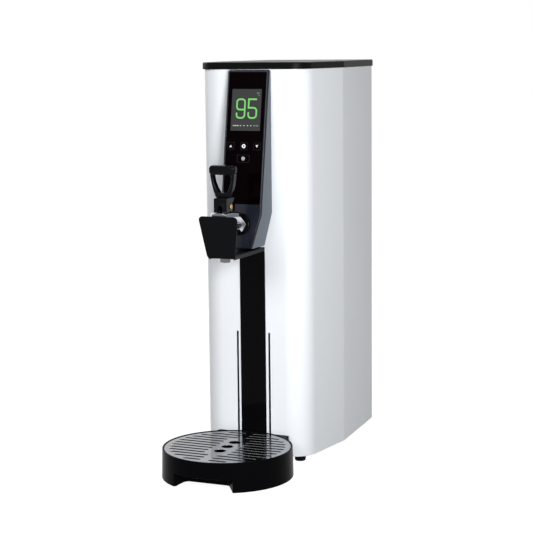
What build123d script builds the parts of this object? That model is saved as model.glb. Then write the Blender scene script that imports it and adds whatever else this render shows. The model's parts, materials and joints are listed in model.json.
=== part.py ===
from build123d import *
import os
from math import ceil, cos, dist, hypot, pi, radians, sin, sqrt, tan

# Countertop hot water dispenser, in millimetres.
# Source frame: the body's front face is on Y = 0, the user stands at -Y, the floor is Z = 0.
# Every piece is moved along Y at the end, so that the origin lies under the middle of the object.

# Body
HEIGHT = 600.0  # floor to the top of the lid
FRONT_W = 165.0  # width at the front, between the corners before rounding
WIDE_W = 200.4  # width at the facet edges
WIDE_Y = 122.3  # facet edges behind the front face
BACK_W = 180.4
DEPTH = 284.0
CORNER_R = 37.0
FACET_R = 3.0
BACK_R = 4.0
SHEET = 1.5
REAR_FLANGE = 14.0
FOOT_FLANGE = 24.0

# Fits
FIT = 0.3  # between pieces that are assembled
RUN_FIT = 0.05  # radial, for pins and shafts that turn or slide
SCREW_FIT = 0.2  # radial, round every screw

# Lid
LID_EDGE = 10.3
LID_LIP = 1.8
LID_WALL = 2.5
LID_SKIRT = 12.0
LID_CORNER_R = 30.0
LID_FACET_R = 10.0
LID_ROUND = 2.2

# Feet
FOOT_H = 8.0
FOOT_D = 18.0
FOOT_X = 68.0
FOOT_INSET = 17.5  # from the front and from the back
FOOT_SEAT = 4.5

# Base and back
BASE_T = 1.5
PAN_H = 10.0
REAR_T = 1.2
LOUVRES = 8
LOUVRE_L = 46.0
LOUVRE_W = 4.0
LOUVRE_PITCH = 11.0
LOUVRE_X = 38.0
LOUVRE_DROP = 40.0  # below the lid

# Screws: diameter of the shank, diameter and height of the head
M3 = (3.0, 5.6, 2.2)
M4 = (4.0, 7.6, 2.8)
SCREW_REACH = 6.0

# Wedge of controls
HOUSING_W = 66.0
HOUSING_END_W = 41.0  # at its lower end
HOUSING_WALL = 2.5
HOUSING_DROP = 0.7  # below the lid
HOUSING_R = 3.0  # upper corners
LEAN = 9.37  # degrees from upright
PANEL_TOP_OUT = 6.635  # how far the front stands out at its top
BEZEL_T = 4.0
BEVEL = 1.8
GROOVE = 0.7
BOSS_D = 8.0
BOSS_L = 5.5
BOSS_HIGH = 84.0  # upper screws below the top of the wedge
BOSS_LOW = 35.0  # lower screws above the shank
BOSS_BITE = 0.5  # how far a boss runs into the wall beside it
KINK_UP = 14.0  # the wedge narrows from this far above the shank

# Display and keys, by their distance down the leaning front
OVERLAY_W = 59.4
OVERLAY_TOP = 3.4
OVERLAY_END = 29.0  # lower edge above the tap's shank
OVERLAY_T = 1.5
GLASS_W = 47.2
GLASS_H = 61.4
GLASS_TOP = 28.3
GLASS_SINK = 0.1
MODULE_RIM = 2.2
KEY_D = 9.0
KEY_ROW = 112.5
KEY_PITCH = 21.0
POWER_KEY = 130.8
KEY_PROUD = 0.3
KEY_STEM_D = 4.0
KEY_STEM_L = 2.0
COLLAR_T = 1.0
SWITCH_W = 6.0
SWITCH_H = 3.5
BUTTON_H = 1.0
BUTTON_GAP = 0.6  # key stem to switch, at rest
BOARD_T = 1.6
BOARD_W = 51.0
BOARD_MARGIN = 7.0  # upper posts above the display's glass, and window below the wedge's top
WINDOW_H = 55.0  # opening in the front sheet, behind the board
POST_D = 6.0
POST_X = 22.0
POST_LOW = 16.0  # lower posts below the power key

# Tap
TAP_DROP = 235.0  # shank below the top of the lid
SHANK_D = 17.0
SHANK_TAIL = 18.0  # behind the front sheet
WATERWAY_D = 9.0
BARREL_D = 27.0
BARREL_UP = 22.9  # top of the bonnet above the shank
BARREL_DOWN = 17.0
SPOUT_D = 15.0
SPOUT_DOWN = 50.0  # tip of the spout below the shank
CHAMBER_D = 19.0
SEAT_DOWN = 10.0  # valve seat below the shank
WASHER_D = 33.0
WASHER_T = 5.0
COLLAR_AF = 24.0
COLLAR_L = 4.0
NUT_AF = 26.0
NUT_T = 8.0

# Bonnet, handle and stem
BONNET_AF = 39.0
BONNET_T = 6.0
PLUG_L = 8.0  # lower end of its plug below its top
PIN_UP = 8.5  # pivot above the bonnet
PIN_D = 3.0
PIN_HEAD_D = 7.6
PIN_HEAD_T = 1.2
HANDLE_SWING = 25.0  # degrees
CAM_R = 11.0  # front of the flat sole ahead of the pivot
CAM_STEPS = 4
BASE_W = 20.0
BASE_UP = 12.6  # top of the handle's base above the pivot
BASE_R = 2.0
BASE_EDGE = 0.8
BASE_SLOT_UP = 2.4
LOOP_LEAN = 4.3  # degrees forward
LOOP_BITE = 0.6  # how far the loop runs into the base
LOOP_BASE_W = 22.3
LEGS_W = 38.9  # across both legs, under the bar
LOOP_W = 41.0
LOOP_TOP = 59.2  # above the pivot
LOOP_BAR = 13.3
LOOP_BAR_DEEP = 14.0
LOOP_BAR_R = 4.5
LOOP_DEEP = 11.0
LOOP_LEG = 5.0
LOOP_FOOT = 8.0  # thickness of the loop over the base
LOOP_ROUND = 1.6
STEM_D = 7.0
STEM_END = 4.0  # above the pivot
STEM_COLLAR_D = 15.0
STEM_COLLAR_T = 2.0
STEM_COLLAR_UP = 1.0  # above the shank
CUP_D = 15.0
CUP_T = 4.5
CUP_SOCKET = 2.5
SPRING_D = 13.0
WIRE_D = 1.1
SPRING_TURNS = 3.5

# Splash guard
GUARD_T = 2.0
GUARD_TOP_W = 62.0
GUARD_END_W = 44.0
GUARD_H = 62.5
GUARD_LEAN = 10.0  # degrees, the top forward
GUARD_AHEAD = 13.8  # lower edge in front of the tap's axis
GUARD_TOP_R = 5.5
GUARD_END_R = 5.5
SHELF_W = 41.0
SHELF_DOWN = 38.5  # top of the shelf below the shank
SHELF_EDGE = 6.0
SHELF_LAP = 4.5  # lower edge of the guard below the shelf's top
TAB_W = 24.0
TAB_H = 26.0
TAB_SCREW_UP = 17.7
SPOUT_ROOM = 2.5
HOUSING_CLEAR = 2.5  # wedge above the shelf

# Front strip and slots
STRIP_W = 41.2
STRIP_T = 1.0
STRIP_BOTTOM = 22.0
SLOT_X = 25.9
SLOT_W = 3.3
SLOT_TOP = 196.6
SLOT_BOTTOM = 13.0

# Drip tray
TRAY_R = 95.5  # at the rim
TRAY_H = 43.5
TRAY_DRAFT = 1.45  # degrees
TRAY_WALL = 2.2
TRAY_LEDGE = 2.5
TRAY_LIFT = 0.3  # above the floor
TRAY_GAP = 0.6  # from the front strip
TRAY_UNDER = 7.5
TRAY_FLOOR = 2.5
BLOCK_W = 116.0
BLOCK_H = 41.0
BLOCK_DEEP = 40.0
NOTCH_W = 92.0
NOTCH_H = 19.0
NOTCH_DEEP = 28.0
NOTCH_SPLAY = 14.0  # its sides close in towards the back
NOTCH_R = 8.0
NOTCH_LIP = 4.7  # lower edge of its back above the tray's foot
GRILLE_T = 1.0
GRILLE_SINK = 1.0  # below the rim
GRILLE_ROWS = 13
ROW_PITCH = 13.0
ROW_W = 5.5
ROW_EDGE = 7.5  # ends of the slots inside the grille's edge
WEB_W = 12.4
WIDE_WEB_W = 36.0
HOLE_D = 17.5
HOLE_PITCH = 26.0

# Tray carrier
ARM_T = 2.7
ARM_TOP = 71.0
ARM_BOTTOM = 17.0
HOOK_TOP = 34.0
ARM_OUT = 4.5
ARM_ROOM = 0.5
FORK_BOTTOM = 2.0
FORK_REACH = 72.0
PLATE_T = 2.0
PLATE_EDGE = 10.6  # plate beyond the slots
RAIL_T = 1.5
RAIL_LAP = 3.0
RAIL_PAD = 9.0
RAIL_OVER = 8.0  # rails above the slots

# Tank
TANK_D = 140.0
TANK_H = 270.0
TANK_HEADROOM = 80.0  # below the top of the lid
TANK_Y = 140.0
TANK_WALL = 1.5
TANK_FLANGE = 9.0
GASKET_T = 2.0
TANK_LID_T = 2.0
TANK_SCREWS = 8
JACKET_T = 12.5
JACKET_MARGIN = 8.0
PORT_OFFSET_X = 30.0
PORT_OFFSET_Y = 20.0
OUTLET_UP = 35.0  # outlet above the tank's floor
PIPE_D = 11.0
PIPE_WALL = 1.0
PIPE_BEND = 14.0
STAND_T = 2.5
STAND_LEG = 18.0
STAND_HALF = 65.0
STAND_HOLE = 120.0
STAND_PAD = 24.0

# Heater and sensors
ELEMENT_PLUG_D = 33.0
ELEMENT_FLANGE_D = 46.0
ELEMENT_FLANGE_T = 4.0
ELEMENT_HEX = 40.0
ELEMENT_HEX_T = 12.0
ELEMENT_ROD_D = 7.0
ELEMENT_HALF = 10.0
ELEMENT_H = 140.0
ELEMENT_STEP = 25.0  # second loop below the first
ELEMENT_PIN_L = 14.0
PROBE_D = 4.0
PROBE_CAP_D = 12.0
PROBE_CAP_H = 9.0
PROBE_LENGTHS = (40.0, 60.0, 220.0)
PROBE_PITCH = 22.0
PROBE_Y = 30.0  # in front of the tank's axis
SENSOR_L = 120.0
CUTOUT_D = 18.0
CUTOUT_H = 8.0
VENT_IN = 12.0  # inside the tank's wall
VENT_TURN = 37.0  # degrees, from the tank's side towards its back
VENT_RISE = 34.0
VENT_DOWN_IN = 16.0  # in front of the body's back
VENT_Z = 140.0
VENT_OUT = 16.0

# Water and mains connections at the back
INLET_Z = 70.0
INLET_D = 26.4  # three-quarter inch pipe thread
INLET_OUT = 20.0  # behind the body
VALVE_W = 30.0
VALVE_H = 28.0
VALVE_FLANGE_D = 34.0
VALVE_FLANGE_T = 4.0
VALVE_L = 38.0
SEAT_T = 2.5  # rings that seat the water connections on the panel
SEAT_RING = 3.0  # their width
NIPPLE_L = 10.0
COIL_W = 32.0
COIL_H = 34.0
DRAIN_Z = 40.0
DRAIN_OUT = 14.0
CAP_D = 18.0
CAP_L = 13.0
GLAND_X = 62.0
GLAND_Z = 95.0
GLAND_AF = 24.0
GLAND_THREAD_D = 16.0
GLAND_HEX_T = 6.0
GLAND_DOME_D = 19.0
GLAND_DOME_L = 8.0
GLAND_BORE = 9.0
GLAND_NUT_T = 5.0

# Power board and terminals
POWER_W = 110.0
POWER_D = 48.0
POWER_GAP = 4.0  # in front of the tank's stand
POWER_LIFT = 7.0
POWER_POST_D = 6.0
POWER_EDGE = 8.0  # components inside the board's edges
RELAY = (18.0, 16.0, 16.0)
RELAY_PITCH = 22.0
RELAYS = 3
TRANSFORMER = (30.0, 32.0, 26.0)
FIN = (3.0, 14.0, 22.0)
FIN_PITCH = 8.0
FINS = 5
TERMINAL_W = 30.0
TERMINAL_D = 16.0
TERMINAL_H = 18.0
TERMINAL_POLES = 3
TERMINAL_IN = 8.0  # in front of the body's back
TERMINAL_BESIDE = 17.0  # nearer the middle than the gland

# Heights and places that follow from the values above
LID_Z = HEIGHT - LID_EDGE
TAP_Z = HEIGHT - TAP_DROP  # height of the shank
FLOOR_Z = FOOT_H + SHEET + BASE_T  # upper face of the base pan
REAR_IN = DEPTH - SHEET - REAR_T  # inner face of the rear panel
HOUSING_TOP = LID_Z - HOUSING_DROP
SHELF_Z = TAP_Z - SHELF_DOWN
HOUSING_END = SHELF_Z + HOUSING_CLEAR
KINK_Z = TAP_Z + KINK_UP
BOSS_X = HOUSING_W / 2 - HOUSING_WALL - BOSS_D / 2 + BOSS_BITE
KEY_END = BEZEL_T + RUN_FIT + COLLAR_T + KEY_STEM_L  # key stems behind the leaning front
SWITCH_TOP = KEY_END + BUTTON_GAP + BUTTON_H
BOARD_FRONT = SWITCH_TOP + SWITCH_H  # board behind the leaning front
POSTS = (GLASS_TOP - BOARD_MARGIN, POWER_KEY + POST_LOW)
KEYS = {
    "key_up": (-KEY_PITCH, KEY_ROW),
    "key_set": (0.0, KEY_ROW),
    "key_down": (KEY_PITCH, KEY_ROW),
    "key_power": (0.0, POWER_KEY),
}
BARREL_TOP = TAP_Z + BARREL_UP
PIN_Z = BARREL_TOP + PIN_UP
SEAT_Z = TAP_Z - SEAT_DOWN
BARREL_RIM = BARREL_TOP - BONNET_T
CAM_DROP = PIN_UP - FIT  # sole of the handle's base below the pivot
STEM_STROKE = CAM_R * radians(HANDLE_SWING)
SPRING_Z = (TAP_Z + STEM_COLLAR_UP + STEM_COLLAR_T, BARREL_TOP - PLUG_L)
TRAY_BASE_R = TRAY_R + TRAY_H * tan(radians(TRAY_DRAFT))
TRAY_BACK = STRIP_T + TRAY_GAP  # back of the tray in front of the body
TRAY_Y = TRAY_BASE_R + TRAY_BACK
TRAY_IN_R = TRAY_R - TRAY_WALL
SPOUT_BACK = 1.5  # the spout drips a little behind the middle of the tray
TAP_Y = TRAY_Y - SPOUT_BACK
GUARD_Y = TAP_Y + GUARD_AHEAD
GRILLE_Z = TRAY_LIFT + TRAY_H - GRILLE_SINK - GRILLE_T
FORK_TOP = TRAY_LIFT + TRAY_UNDER - FIT
TANK_TOP = HEIGHT - TANK_HEADROOM
TANK_Z = TANK_TOP - TANK_H
TANK_LID_Z = TANK_TOP + GASKET_T
TANK_FLANGE_R = TANK_D / 2 + TANK_FLANGE
VENT_X = (TANK_D / 2 - VENT_IN) * cos(radians(VENT_TURN))
VENT_BACK = (TANK_D / 2 - VENT_IN) * sin(radians(VENT_TURN))  # behind the tank's axis
POWER_Y = TANK_Y - STAND_HALF - POWER_GAP - POWER_D
TRAY_REACH = TRAY_Y + TRAY_BASE_R - NOTCH_H * tan(radians(TRAY_DRAFT))
Y_MIDDLE = (DEPTH + INLET_OUT - TRAY_REACH) / 2
FAR = 2 * HEIGHT  # size of a cutting block

PANEL = Plane(
    origin=(0, -PANEL_TOP_OUT, HOUSING_TOP),
    x_dir=(1, 0, 0),
    z_dir=(0, -cos(radians(LEAN)), sin(radians(LEAN))),
)
GUARD = Plane(
    origin=(0, -GUARD_Y, SHELF_Z - SHELF_LAP),
    x_dir=(1, 0, 0),
    z_dir=(0, -cos(radians(GUARD_LEAN)), -sin(radians(GUARD_LEAN))),
)


def block(x, y, z):
    """Box between two limits along each axis."""
    middle = Pos((x[0] + x[1]) / 2, (y[0] + y[1]) / 2, (z[0] + z[1]) / 2)
    return middle * Box(x[1] - x[0], y[1] - y[0], z[1] - z[0])


def bar_x(d, x, y, z):
    """Round bar along X between two limits."""
    return Pos((x[0] + x[1]) / 2, y, z) * Rot(0, 90, 0) * Cylinder(d / 2, x[1] - x[0])


def bar_y(d, x, y, z):
    """Round bar along Y between two limits."""
    return Pos(x, (y[0] + y[1]) / 2, z) * Rot(90, 0, 0) * Cylinder(d / 2, y[1] - y[0])


def bar_z(d, x, y, z):
    """Round bar along Z between two limits."""
    return Pos(x, y, (z[0] + z[1]) / 2) * Cylinder(d / 2, z[1] - z[0])


def hex_y(flats, x, y, z):
    """Hexagonal bar along Y between two limits."""
    outline = Pos(x, z) * RegularPolygon(flats / 2, 6, major_radius=False)
    return Pos(0, y[1], 0) * extrude(Plane.XZ * outline, y[1] - y[0])


def sides(solid):
    """A solid and its mirror image across the middle of the object."""
    return [solid, mirror(solid, Plane.YZ)]


def group(pieces):
    """Separate solids that share a node."""
    return Compound([s for piece in pieces for s in piece.solids()])


def screw_y(size, x, z, face, end):
    """Screw along Y, with its head on a face and its shank running to an end."""
    shank, head, high = size
    out = 1 if face > end else -1
    body = bar_y(shank, x, sorted((face, end)), z)
    return body + bar_y(head, x, sorted((face, face + out * high)), z)


def screw_z(size, x, y, face, end):
    """Screw along Z, with its head on a face and its shank running to an end."""
    shank, head, high = size
    out = 1 if face > end else -1
    body = bar_z(shank, x, y, sorted((face, end)))
    return body + bar_z(head, x, y, sorted((face, face + out * high)))


def screw_hole(size):
    """Diameter of the hole that a screw passes."""
    return size[0] + 2 * SCREW_FIT


def pipe(points, d, bore):
    """Tube along straight runs joined by bends."""
    path = FilletPolyline(*points, radius=PIPE_BEND)
    section = Plane(origin=path @ 0, z_dir=path % 0)
    return sweep(section * Circle(d / 2), path) - sweep(section * Circle(bore / 2), path)


def plan(grow, facet_r=FACET_R, corner_r=CORNER_R):
    """The body's outline seen from above, grown or shrunk by a distance."""
    half = ((FRONT_W / 2, 0), (WIDE_W / 2, WIDE_Y), (BACK_W / 2, DEPTH))
    outline = Polyline(*half, *[(-x, y) for x, y in reversed(half)], close=True)
    face = make_face(outline)
    for depth, radius in ((0, corner_r), (WIDE_Y, facet_r), (DEPTH, BACK_R)):
        face = fillet([v for v in face.vertices() if abs(v.Y - depth) < 0.001], radius)
    return offset(face, grow, kind=Kind.INTERSECTION) if grow else face


def panel_block(x, down, out):
    """Box on the leaning front: across it, down it and out of it."""
    return PANEL.location * block(x, (-down[1], -down[0]), out)


def panel_bar(d, x, down, out):
    """Round bar square to the leaning front."""
    return PANEL.location * bar_z(d, x, -down, out)


def ahead_of_panel(out):
    """All that lies in front of the leaning front, moved out by a distance."""
    return panel_block((-FAR, FAR), (-FAR, FAR), (out, out + FAR))


def behind_panel(out):
    """All that lies behind the leaning front, moved out by a distance."""
    return panel_block((-FAR, FAR), (-FAR, FAR), (out - FAR, out))


def down_panel(z):
    """Distance down the leaning front of a height on it."""
    return (HOUSING_TOP - z) / cos(radians(LEAN))


def foot_places():
    """Centres of the four feet."""
    return [(x, y) for x in (-FOOT_X, FOOT_X) for y in (FOOT_INSET, DEPTH - FOOT_INSET)]


def rear_screw_places():
    """Places of the screws of the rear panel and, last on each side, of the lid."""
    low = FLOOR_Z + PAN_H + 2 * REAR_FLANGE
    high = LID_Z - LID_SKIRT - REAR_FLANGE
    x = BACK_W / 2 - REAR_FLANGE / 2
    panel = [(side * x, z) for side in (-1, 1) for z in (low, (low + high) / 2, high)]
    return panel, [(side * x, LID_Z - LID_SKIRT / 2) for side in (-1, 1)]


def housing_screw_places():
    """Places of the screws that hold the wedge to the front sheet."""
    heights = (HOUSING_TOP - BOSS_HIGH, TAP_Z + BOSS_LOW)
    return [(side * BOSS_X, z) for side in (-1, 1) for z in heights]


def guard_screw_places():
    """Places of the screws in the guard's tab."""
    return [(side * TAB_W / 4, SHELF_Z + TAB_SCREW_UP) for side in (-1, 1)]


def body_shell():
    """Wrapped sheet of the front and flanks, with a flange at the back and one at the floor."""
    inner = plan(-SHEET)
    shell = extrude(Pos(0, 0, FOOT_H) * (plan(0) - inner), LID_Z - FOOT_H)
    shell += extrude(Pos(0, 0, FOOT_H) * (inner - plan(-SHEET - FOOT_FLANGE)), SHEET)
    gap = BACK_W / 2 - REAR_FLANGE
    shell -= block((-gap, gap), (DEPTH - 2 * SHEET, DEPTH + SHEET), (FOOT_H + SHEET, HEIGHT))
    front = (-SHEET, 2 * SHEET)
    shell -= bar_y(SHANK_D + 2 * FIT, 0, front, TAP_Z)
    reach = BOARD_W / 2 + 2 * FIT
    window = HOUSING_TOP - BOARD_MARGIN
    shell -= block((-reach, reach), front, (window - WINDOW_H, window))
    for side in (-1, 1):
        x = side * SLOT_X
        ends = (SLOT_BOTTOM + SLOT_W / 2, SLOT_TOP - SLOT_W / 2)
        shell -= block((x - SLOT_W / 2, x + SLOT_W / 2), front, ends)
        for z in ends:
            shell -= bar_y(SLOT_W, x, front, z)
    for x, z in housing_screw_places() + guard_screw_places():
        shell -= bar_y(screw_hole(M3), x, front, z)
    for x, z in sum(rear_screw_places(), []):
        shell -= bar_y(screw_hole(M3), x, (DEPTH - 2 * SHEET, DEPTH + SHEET), z)
    for x, y in foot_places():
        shell -= bar_z(screw_hole(M4), x, y, (0, FLOOR_Z))
    return shell


def base_pan():
    """Floor of the body, with an upstand inside the shell that is open behind the slots."""
    edge = plan(-SHEET - FIT)
    pan = extrude(Pos(0, 0, FOOT_H + SHEET) * edge, BASE_T)
    pan += extrude(Pos(0, 0, FLOOR_Z) * (edge - plan(-SHEET - FIT - BASE_T)), PAN_H)
    gap = SLOT_X + PLATE_EDGE + RAIL_PAD + RAIL_LAP
    pan -= block((-gap, gap), (0, CORNER_R / 2), (FLOOR_Z, FLOOR_Z + 2 * PAN_H))
    for x, y in foot_places():
        pan -= bar_z(screw_hole(M4), x, y, (0, HEIGHT))
    for x, y in stand_places():
        pan -= bar_z(screw_hole(M3), x, y, (0, HEIGHT))
    for row in range(-3, 4):
        vent = Pos(0, TANK_Y + row * LOUVRE_PITCH) * SlotOverall(LOUVRE_L, LOUVRE_W)
        pan -= extrude(vent, FLOOR_Z + PAN_H)
    return pan


def feet():
    """Four tapered rubber feet, each with a seat for its screw."""
    made = []
    for x, y in foot_places():
        foot = Pos(x, y, FOOT_H / 2) * Cone(FOOT_D / 2 - 1, FOOT_D / 2, FOOT_H)
        foot -= bar_z(screw_hole(M4), x, y, (0, FOOT_H))
        made.append(foot - bar_z(M4[1] + 4 * FIT, x, y, (0, FOOT_SEAT)))
    return group(made)


def foot_screws():
    """Screws that hold the feet, the shell's flange and the base pan together."""
    return group([screw_z(M4, x, y, FOOT_SEAT, FLOOR_Z + SCREW_REACH) for x, y in foot_places()])


def top_lid():
    """Moulded cap, hollow below, with a skirt inside the shell."""
    lid = extrude(Pos(0, 0, LID_Z) * plan(LID_LIP, LID_FACET_R, LID_CORNER_R), LID_EDGE)
    lid = fillet(lid.faces().sort_by(Axis.Z)[-1].edges(), LID_ROUND)
    skirt = plan(-SHEET - FIT)
    lid += extrude(Pos(0, 0, LID_Z - LID_SKIRT) * skirt, LID_SKIRT)
    hollow = plan(-SHEET - FIT - LID_WALL)
    lid -= extrude(Pos(0, 0, LID_Z - LID_SKIRT) * hollow, LID_SKIRT + LID_EDGE - LID_WALL)
    for x, z in rear_screw_places()[1]:
        lid -= bar_y(screw_hole(M3), x, (DEPTH - 4 * LID_WALL, DEPTH), z)
    return lid


def lid_screws():
    """Screws through the rear flanges into the lid's skirt."""
    end = DEPTH - SHEET - SCREW_REACH
    return group([screw_y(M3, x, z, DEPTH, end) for x, z in rear_screw_places()[1]])


def rear_panel():
    """Flat back, with vent slots and holes for the connections."""
    half = BACK_W / 2 - SHEET - BACK_R
    heights = (FLOOR_Z + PAN_H + FIT, LID_Z - LID_SKIRT - FIT)
    panel = block((-half, half), (REAR_IN, REAR_IN + REAR_T), heights)
    through = (REAR_IN - REAR_T, DEPTH)
    for row in range(LOUVRES):
        z = LID_Z - LOUVRE_DROP - row * LOUVRE_PITCH
        for x in (-LOUVRE_X, LOUVRE_X):
            slot = Pos(x, z) * SlotOverall(LOUVRE_L, LOUVRE_W)
            panel -= Pos(0, DEPTH, 0) * extrude(Plane.XZ * slot, DEPTH - REAR_IN + REAR_T)
    panel -= bar_y(INLET_D + 2 * FIT, -PORT_OFFSET_X, through, INLET_Z)
    panel -= bar_y(PIPE_D + 2 * FIT, PORT_OFFSET_X, through, DRAIN_Z)
    panel -= bar_y(PIPE_D + 2 * FIT, VENT_X, through, VENT_Z)
    panel -= bar_y(GLAND_THREAD_D + 2 * FIT, GLAND_X, through, GLAND_Z)
    for x, z in rear_screw_places()[0]:
        panel -= bar_y(screw_hole(M3), x, through, z)
    return panel


def rear_screws():
    """Screws through the rear flanges into the rear panel."""
    end = REAR_IN - SCREW_REACH
    return group([screw_y(M3, x, z, DEPTH, end) for x, z in rear_screw_places()[0]])


def housing_prism(inset):
    """The wedge's front outline, run forward from the body."""
    half = (
        (HOUSING_W / 2, HOUSING_TOP),
        (HOUSING_W / 2, KINK_Z),
        (HOUSING_END_W / 2, HOUSING_END),
    )
    face = make_face(Polyline(*half, *[(-x, z) for x, z in reversed(half)], close=True))
    face = fillet(face.vertices().group_by(Axis.Y)[-1], HOUSING_R)
    if inset:
        face = offset(face, -inset, kind=Kind.INTERSECTION)
    return extrude(Plane.XZ * face, TAP_Y)


def control_housing():
    """Walls of the wedge between the body and the bezel, with bosses for its screws."""
    housing = housing_prism(0) - housing_prism(HOUSING_WALL)
    for x, z in housing_screw_places():
        housing += bar_y(BOSS_D, x, (-BOSS_L, 0), z)
        housing -= bar_y(screw_hole(M3), x, (-BOSS_L, 0), z)
    housing -= ahead_of_panel(-BEZEL_T)
    tab = TAB_W / 2 + FIT
    housing -= block((-tab, tab), (-GUARD_T - FIT, 0), (HOUSING_END - 1, HOUSING_END + 2 * HOUSING_WALL))
    return housing


def housing_screws():
    """Screws from inside the body into the wedge's bosses."""
    end = -BOSS_L + 1
    return group([screw_y(M3, x, z, SHEET, end) for x, z in housing_screw_places()])


def overlay_span():
    """Upper and lower edge of the overlay, down the leaning front."""
    return OVERLAY_TOP, down_panel(TAP_Z + OVERLAY_END)


def glass_span(rim):
    """Upper and lower edge of the display, with a rim round it."""
    return GLASS_TOP - rim, GLASS_TOP + GLASS_H + rim


def panel_bezel():
    """Front moulding of the wedge, with its bevel, parting groove, pocket, posts and clips."""
    bezel = housing_prism(0) - ahead_of_panel(0) - behind_panel(-BEZEL_T)
    outward = Axis(PANEL.origin, PANEL.z_dir)
    bezel = chamfer(bezel.faces().sort_by(outward)[-1].edges(), BEVEL)
    bezel = chamfer(bezel.faces().sort_by(outward)[0].edges(), GROOVE)
    top, end = overlay_span()
    half = OVERLAY_W / 2 + FIT / 2
    bezel -= panel_block((-half, half), (top - FIT / 2, end + FIT / 2), (-OVERLAY_T, BEZEL_T))
    half = GLASS_W / 2 + MODULE_RIM + FIT
    bezel -= panel_block((-half, half), glass_span(MODULE_RIM + FIT), (-2 * BEZEL_T, BEZEL_T))
    for x, down in KEYS.values():
        bezel -= panel_bar(KEY_D + 4 * RUN_FIT, x, down, (-2 * BEZEL_T, BEZEL_T))
    bezel -= bar_y(SHANK_D + 2 * FIT, 0, (-TAP_Y, 0), TAP_Z)
    for x in (-POST_X, POST_X):
        for down in POSTS:
            bezel += panel_bar(POST_D, x, down, (-BOARD_FRONT, -BEZEL_T))
            bezel -= panel_bar(screw_hole(M3), x, down, (-BOARD_FRONT, -BEZEL_T - 1))
    clip = HOUSING_W / 2 - HOUSING_WALL - FIT
    for down in (BOSS_HIGH + BOSS_D * 2, POWER_KEY + 4 * KEY_D):
        for x in ((clip - RAIL_T, clip), (-clip, RAIL_T - clip)):
            bezel += panel_block(x, (down, down + BOSS_D), (-2 * BEZEL_T, -BEZEL_T))
    return bezel


def display_overlay():
    """Glossy front of the controls, with a window and holes for the keys."""
    half = OVERLAY_W / 2
    overlay = panel_block((-half, half), overlay_span(), (-OVERLAY_T, 0))
    half = GLASS_W / 2 + RUN_FIT
    overlay -= panel_block((-half, half), glass_span(RUN_FIT), (-2 * OVERLAY_T, OVERLAY_T))
    for x, down in KEYS.values():
        overlay -= panel_bar(KEY_D + 4 * RUN_FIT, x, down, (-2 * OVERLAY_T, OVERLAY_T))
    return overlay


def display_module():
    """Display with its glass in the overlay's window and its frame on the board."""
    half = GLASS_W / 2 + MODULE_RIM
    frame = panel_block((-half, half), glass_span(MODULE_RIM), (-BOARD_FRONT, -OVERLAY_T))
    half = GLASS_W / 2
    return frame + panel_block((-half, half), glass_span(0), (-OVERLAY_T, -GLASS_SINK))


def control_board():
    """Circuit board behind the display and the keys."""
    half = BOARD_W / 2
    span = (POSTS[0] - POST_D, POSTS[1] + POST_D)
    board = panel_block((-half, half), span, (-BOARD_FRONT - BOARD_T, -BOARD_FRONT))
    for x in (-POST_X, POST_X):
        for down in POSTS:
            board -= panel_bar(screw_hole(M3), x, down, (-BOARD_FRONT - BOARD_T, -BOARD_FRONT))
    return board


def board_screws():
    """Screws through the board into the bezel's posts."""
    back = -BOARD_FRONT - BOARD_T
    made = []
    for x in (-POST_X, POST_X):
        for down in POSTS:
            screw = panel_bar(M3[0], x, down, (back, back + SCREW_REACH))
            made.append(screw + panel_bar(M3[1], x, down, (back - M3[2], back)))
    return group(made)


def tact_switches():
    """One switch on the board behind each key."""
    made = []
    half = SWITCH_W / 2
    for x, down in KEYS.values():
        body = panel_block((x - half, x + half), (down - half, down + half), (-BOARD_FRONT, -SWITCH_TOP))
        made.append(body + panel_bar(KEY_STEM_D, x, down, (-SWITCH_TOP, BUTTON_H - SWITCH_TOP)))
    return group(made)


def key(name):
    """Key cap that runs through the overlay and the bezel, with a collar and a stem behind."""
    x, down = KEYS[name]
    collar = BEZEL_T + RUN_FIT
    cap = panel_bar(KEY_D, x, down, (-collar, KEY_PROUD))
    rim = cap.faces().sort_by(Axis(PANEL.origin, PANEL.z_dir))[-1].edges()
    cap = fillet(rim, KEY_PROUD / 2)
    cap += panel_bar(KEY_D + 2 * COLLAR_T, x, down, (-collar - COLLAR_T, -collar))
    return cap + panel_bar(KEY_STEM_D, x, down, (-KEY_END, -collar - COLLAR_T))


def front_strip():
    """Glossy strip down the front, from the shelf to behind the tray."""
    half = STRIP_W / 2
    return block((-half, half), (-STRIP_T, 0), (STRIP_BOTTOM, SHELF_Z - SHELF_EDGE - FIT))


def revolved(points):
    """Solid turned about the tap's upright axis from points of radius and height."""
    return Pos(0, -TAP_Y, 0) * revolve(Plane.XZ * make_face(Polyline(*points, close=True)), Axis.Z)


def tap_body():
    """Chrome tap: shank, hexagonal collar, barrel and spout, bored for the water and the valve."""
    barrel, spout = BARREL_D / 2, SPOUT_D / 2
    low, tip = TAP_Z - BARREL_DOWN, TAP_Z - SPOUT_DOWN
    body = revolved(
        [
            (0, tip),
            (spout - 1, tip),
            (spout, tip + 1),
            (spout, low - (barrel - spout)),
            (barrel, low),
            (barrel, BARREL_RIM),
            (0, BARREL_RIM),
        ]
    )
    body += bar_y(SHANK_D, 0, (-TAP_Y, SHEET + SHANK_TAIL), TAP_Z)
    face = -PANEL_TOP_OUT - (HOUSING_TOP - TAP_Z) * tan(radians(LEAN))
    collar = hex_y(COLLAR_AF, 0, (face - WASHER_T - 2 * COLLAR_L, face), TAP_Z)
    body += collar - behind_panel(WASHER_T)
    body -= bar_z(CHAMBER_D, 0, -TAP_Y, (SEAT_Z, BARREL_RIM))
    body -= bar_z(WATERWAY_D, 0, -TAP_Y, (tip, SEAT_Z))
    return body - bar_y(WATERWAY_D, 0, (-TAP_Y, SHEET + SHANK_TAIL), TAP_Z)


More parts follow.
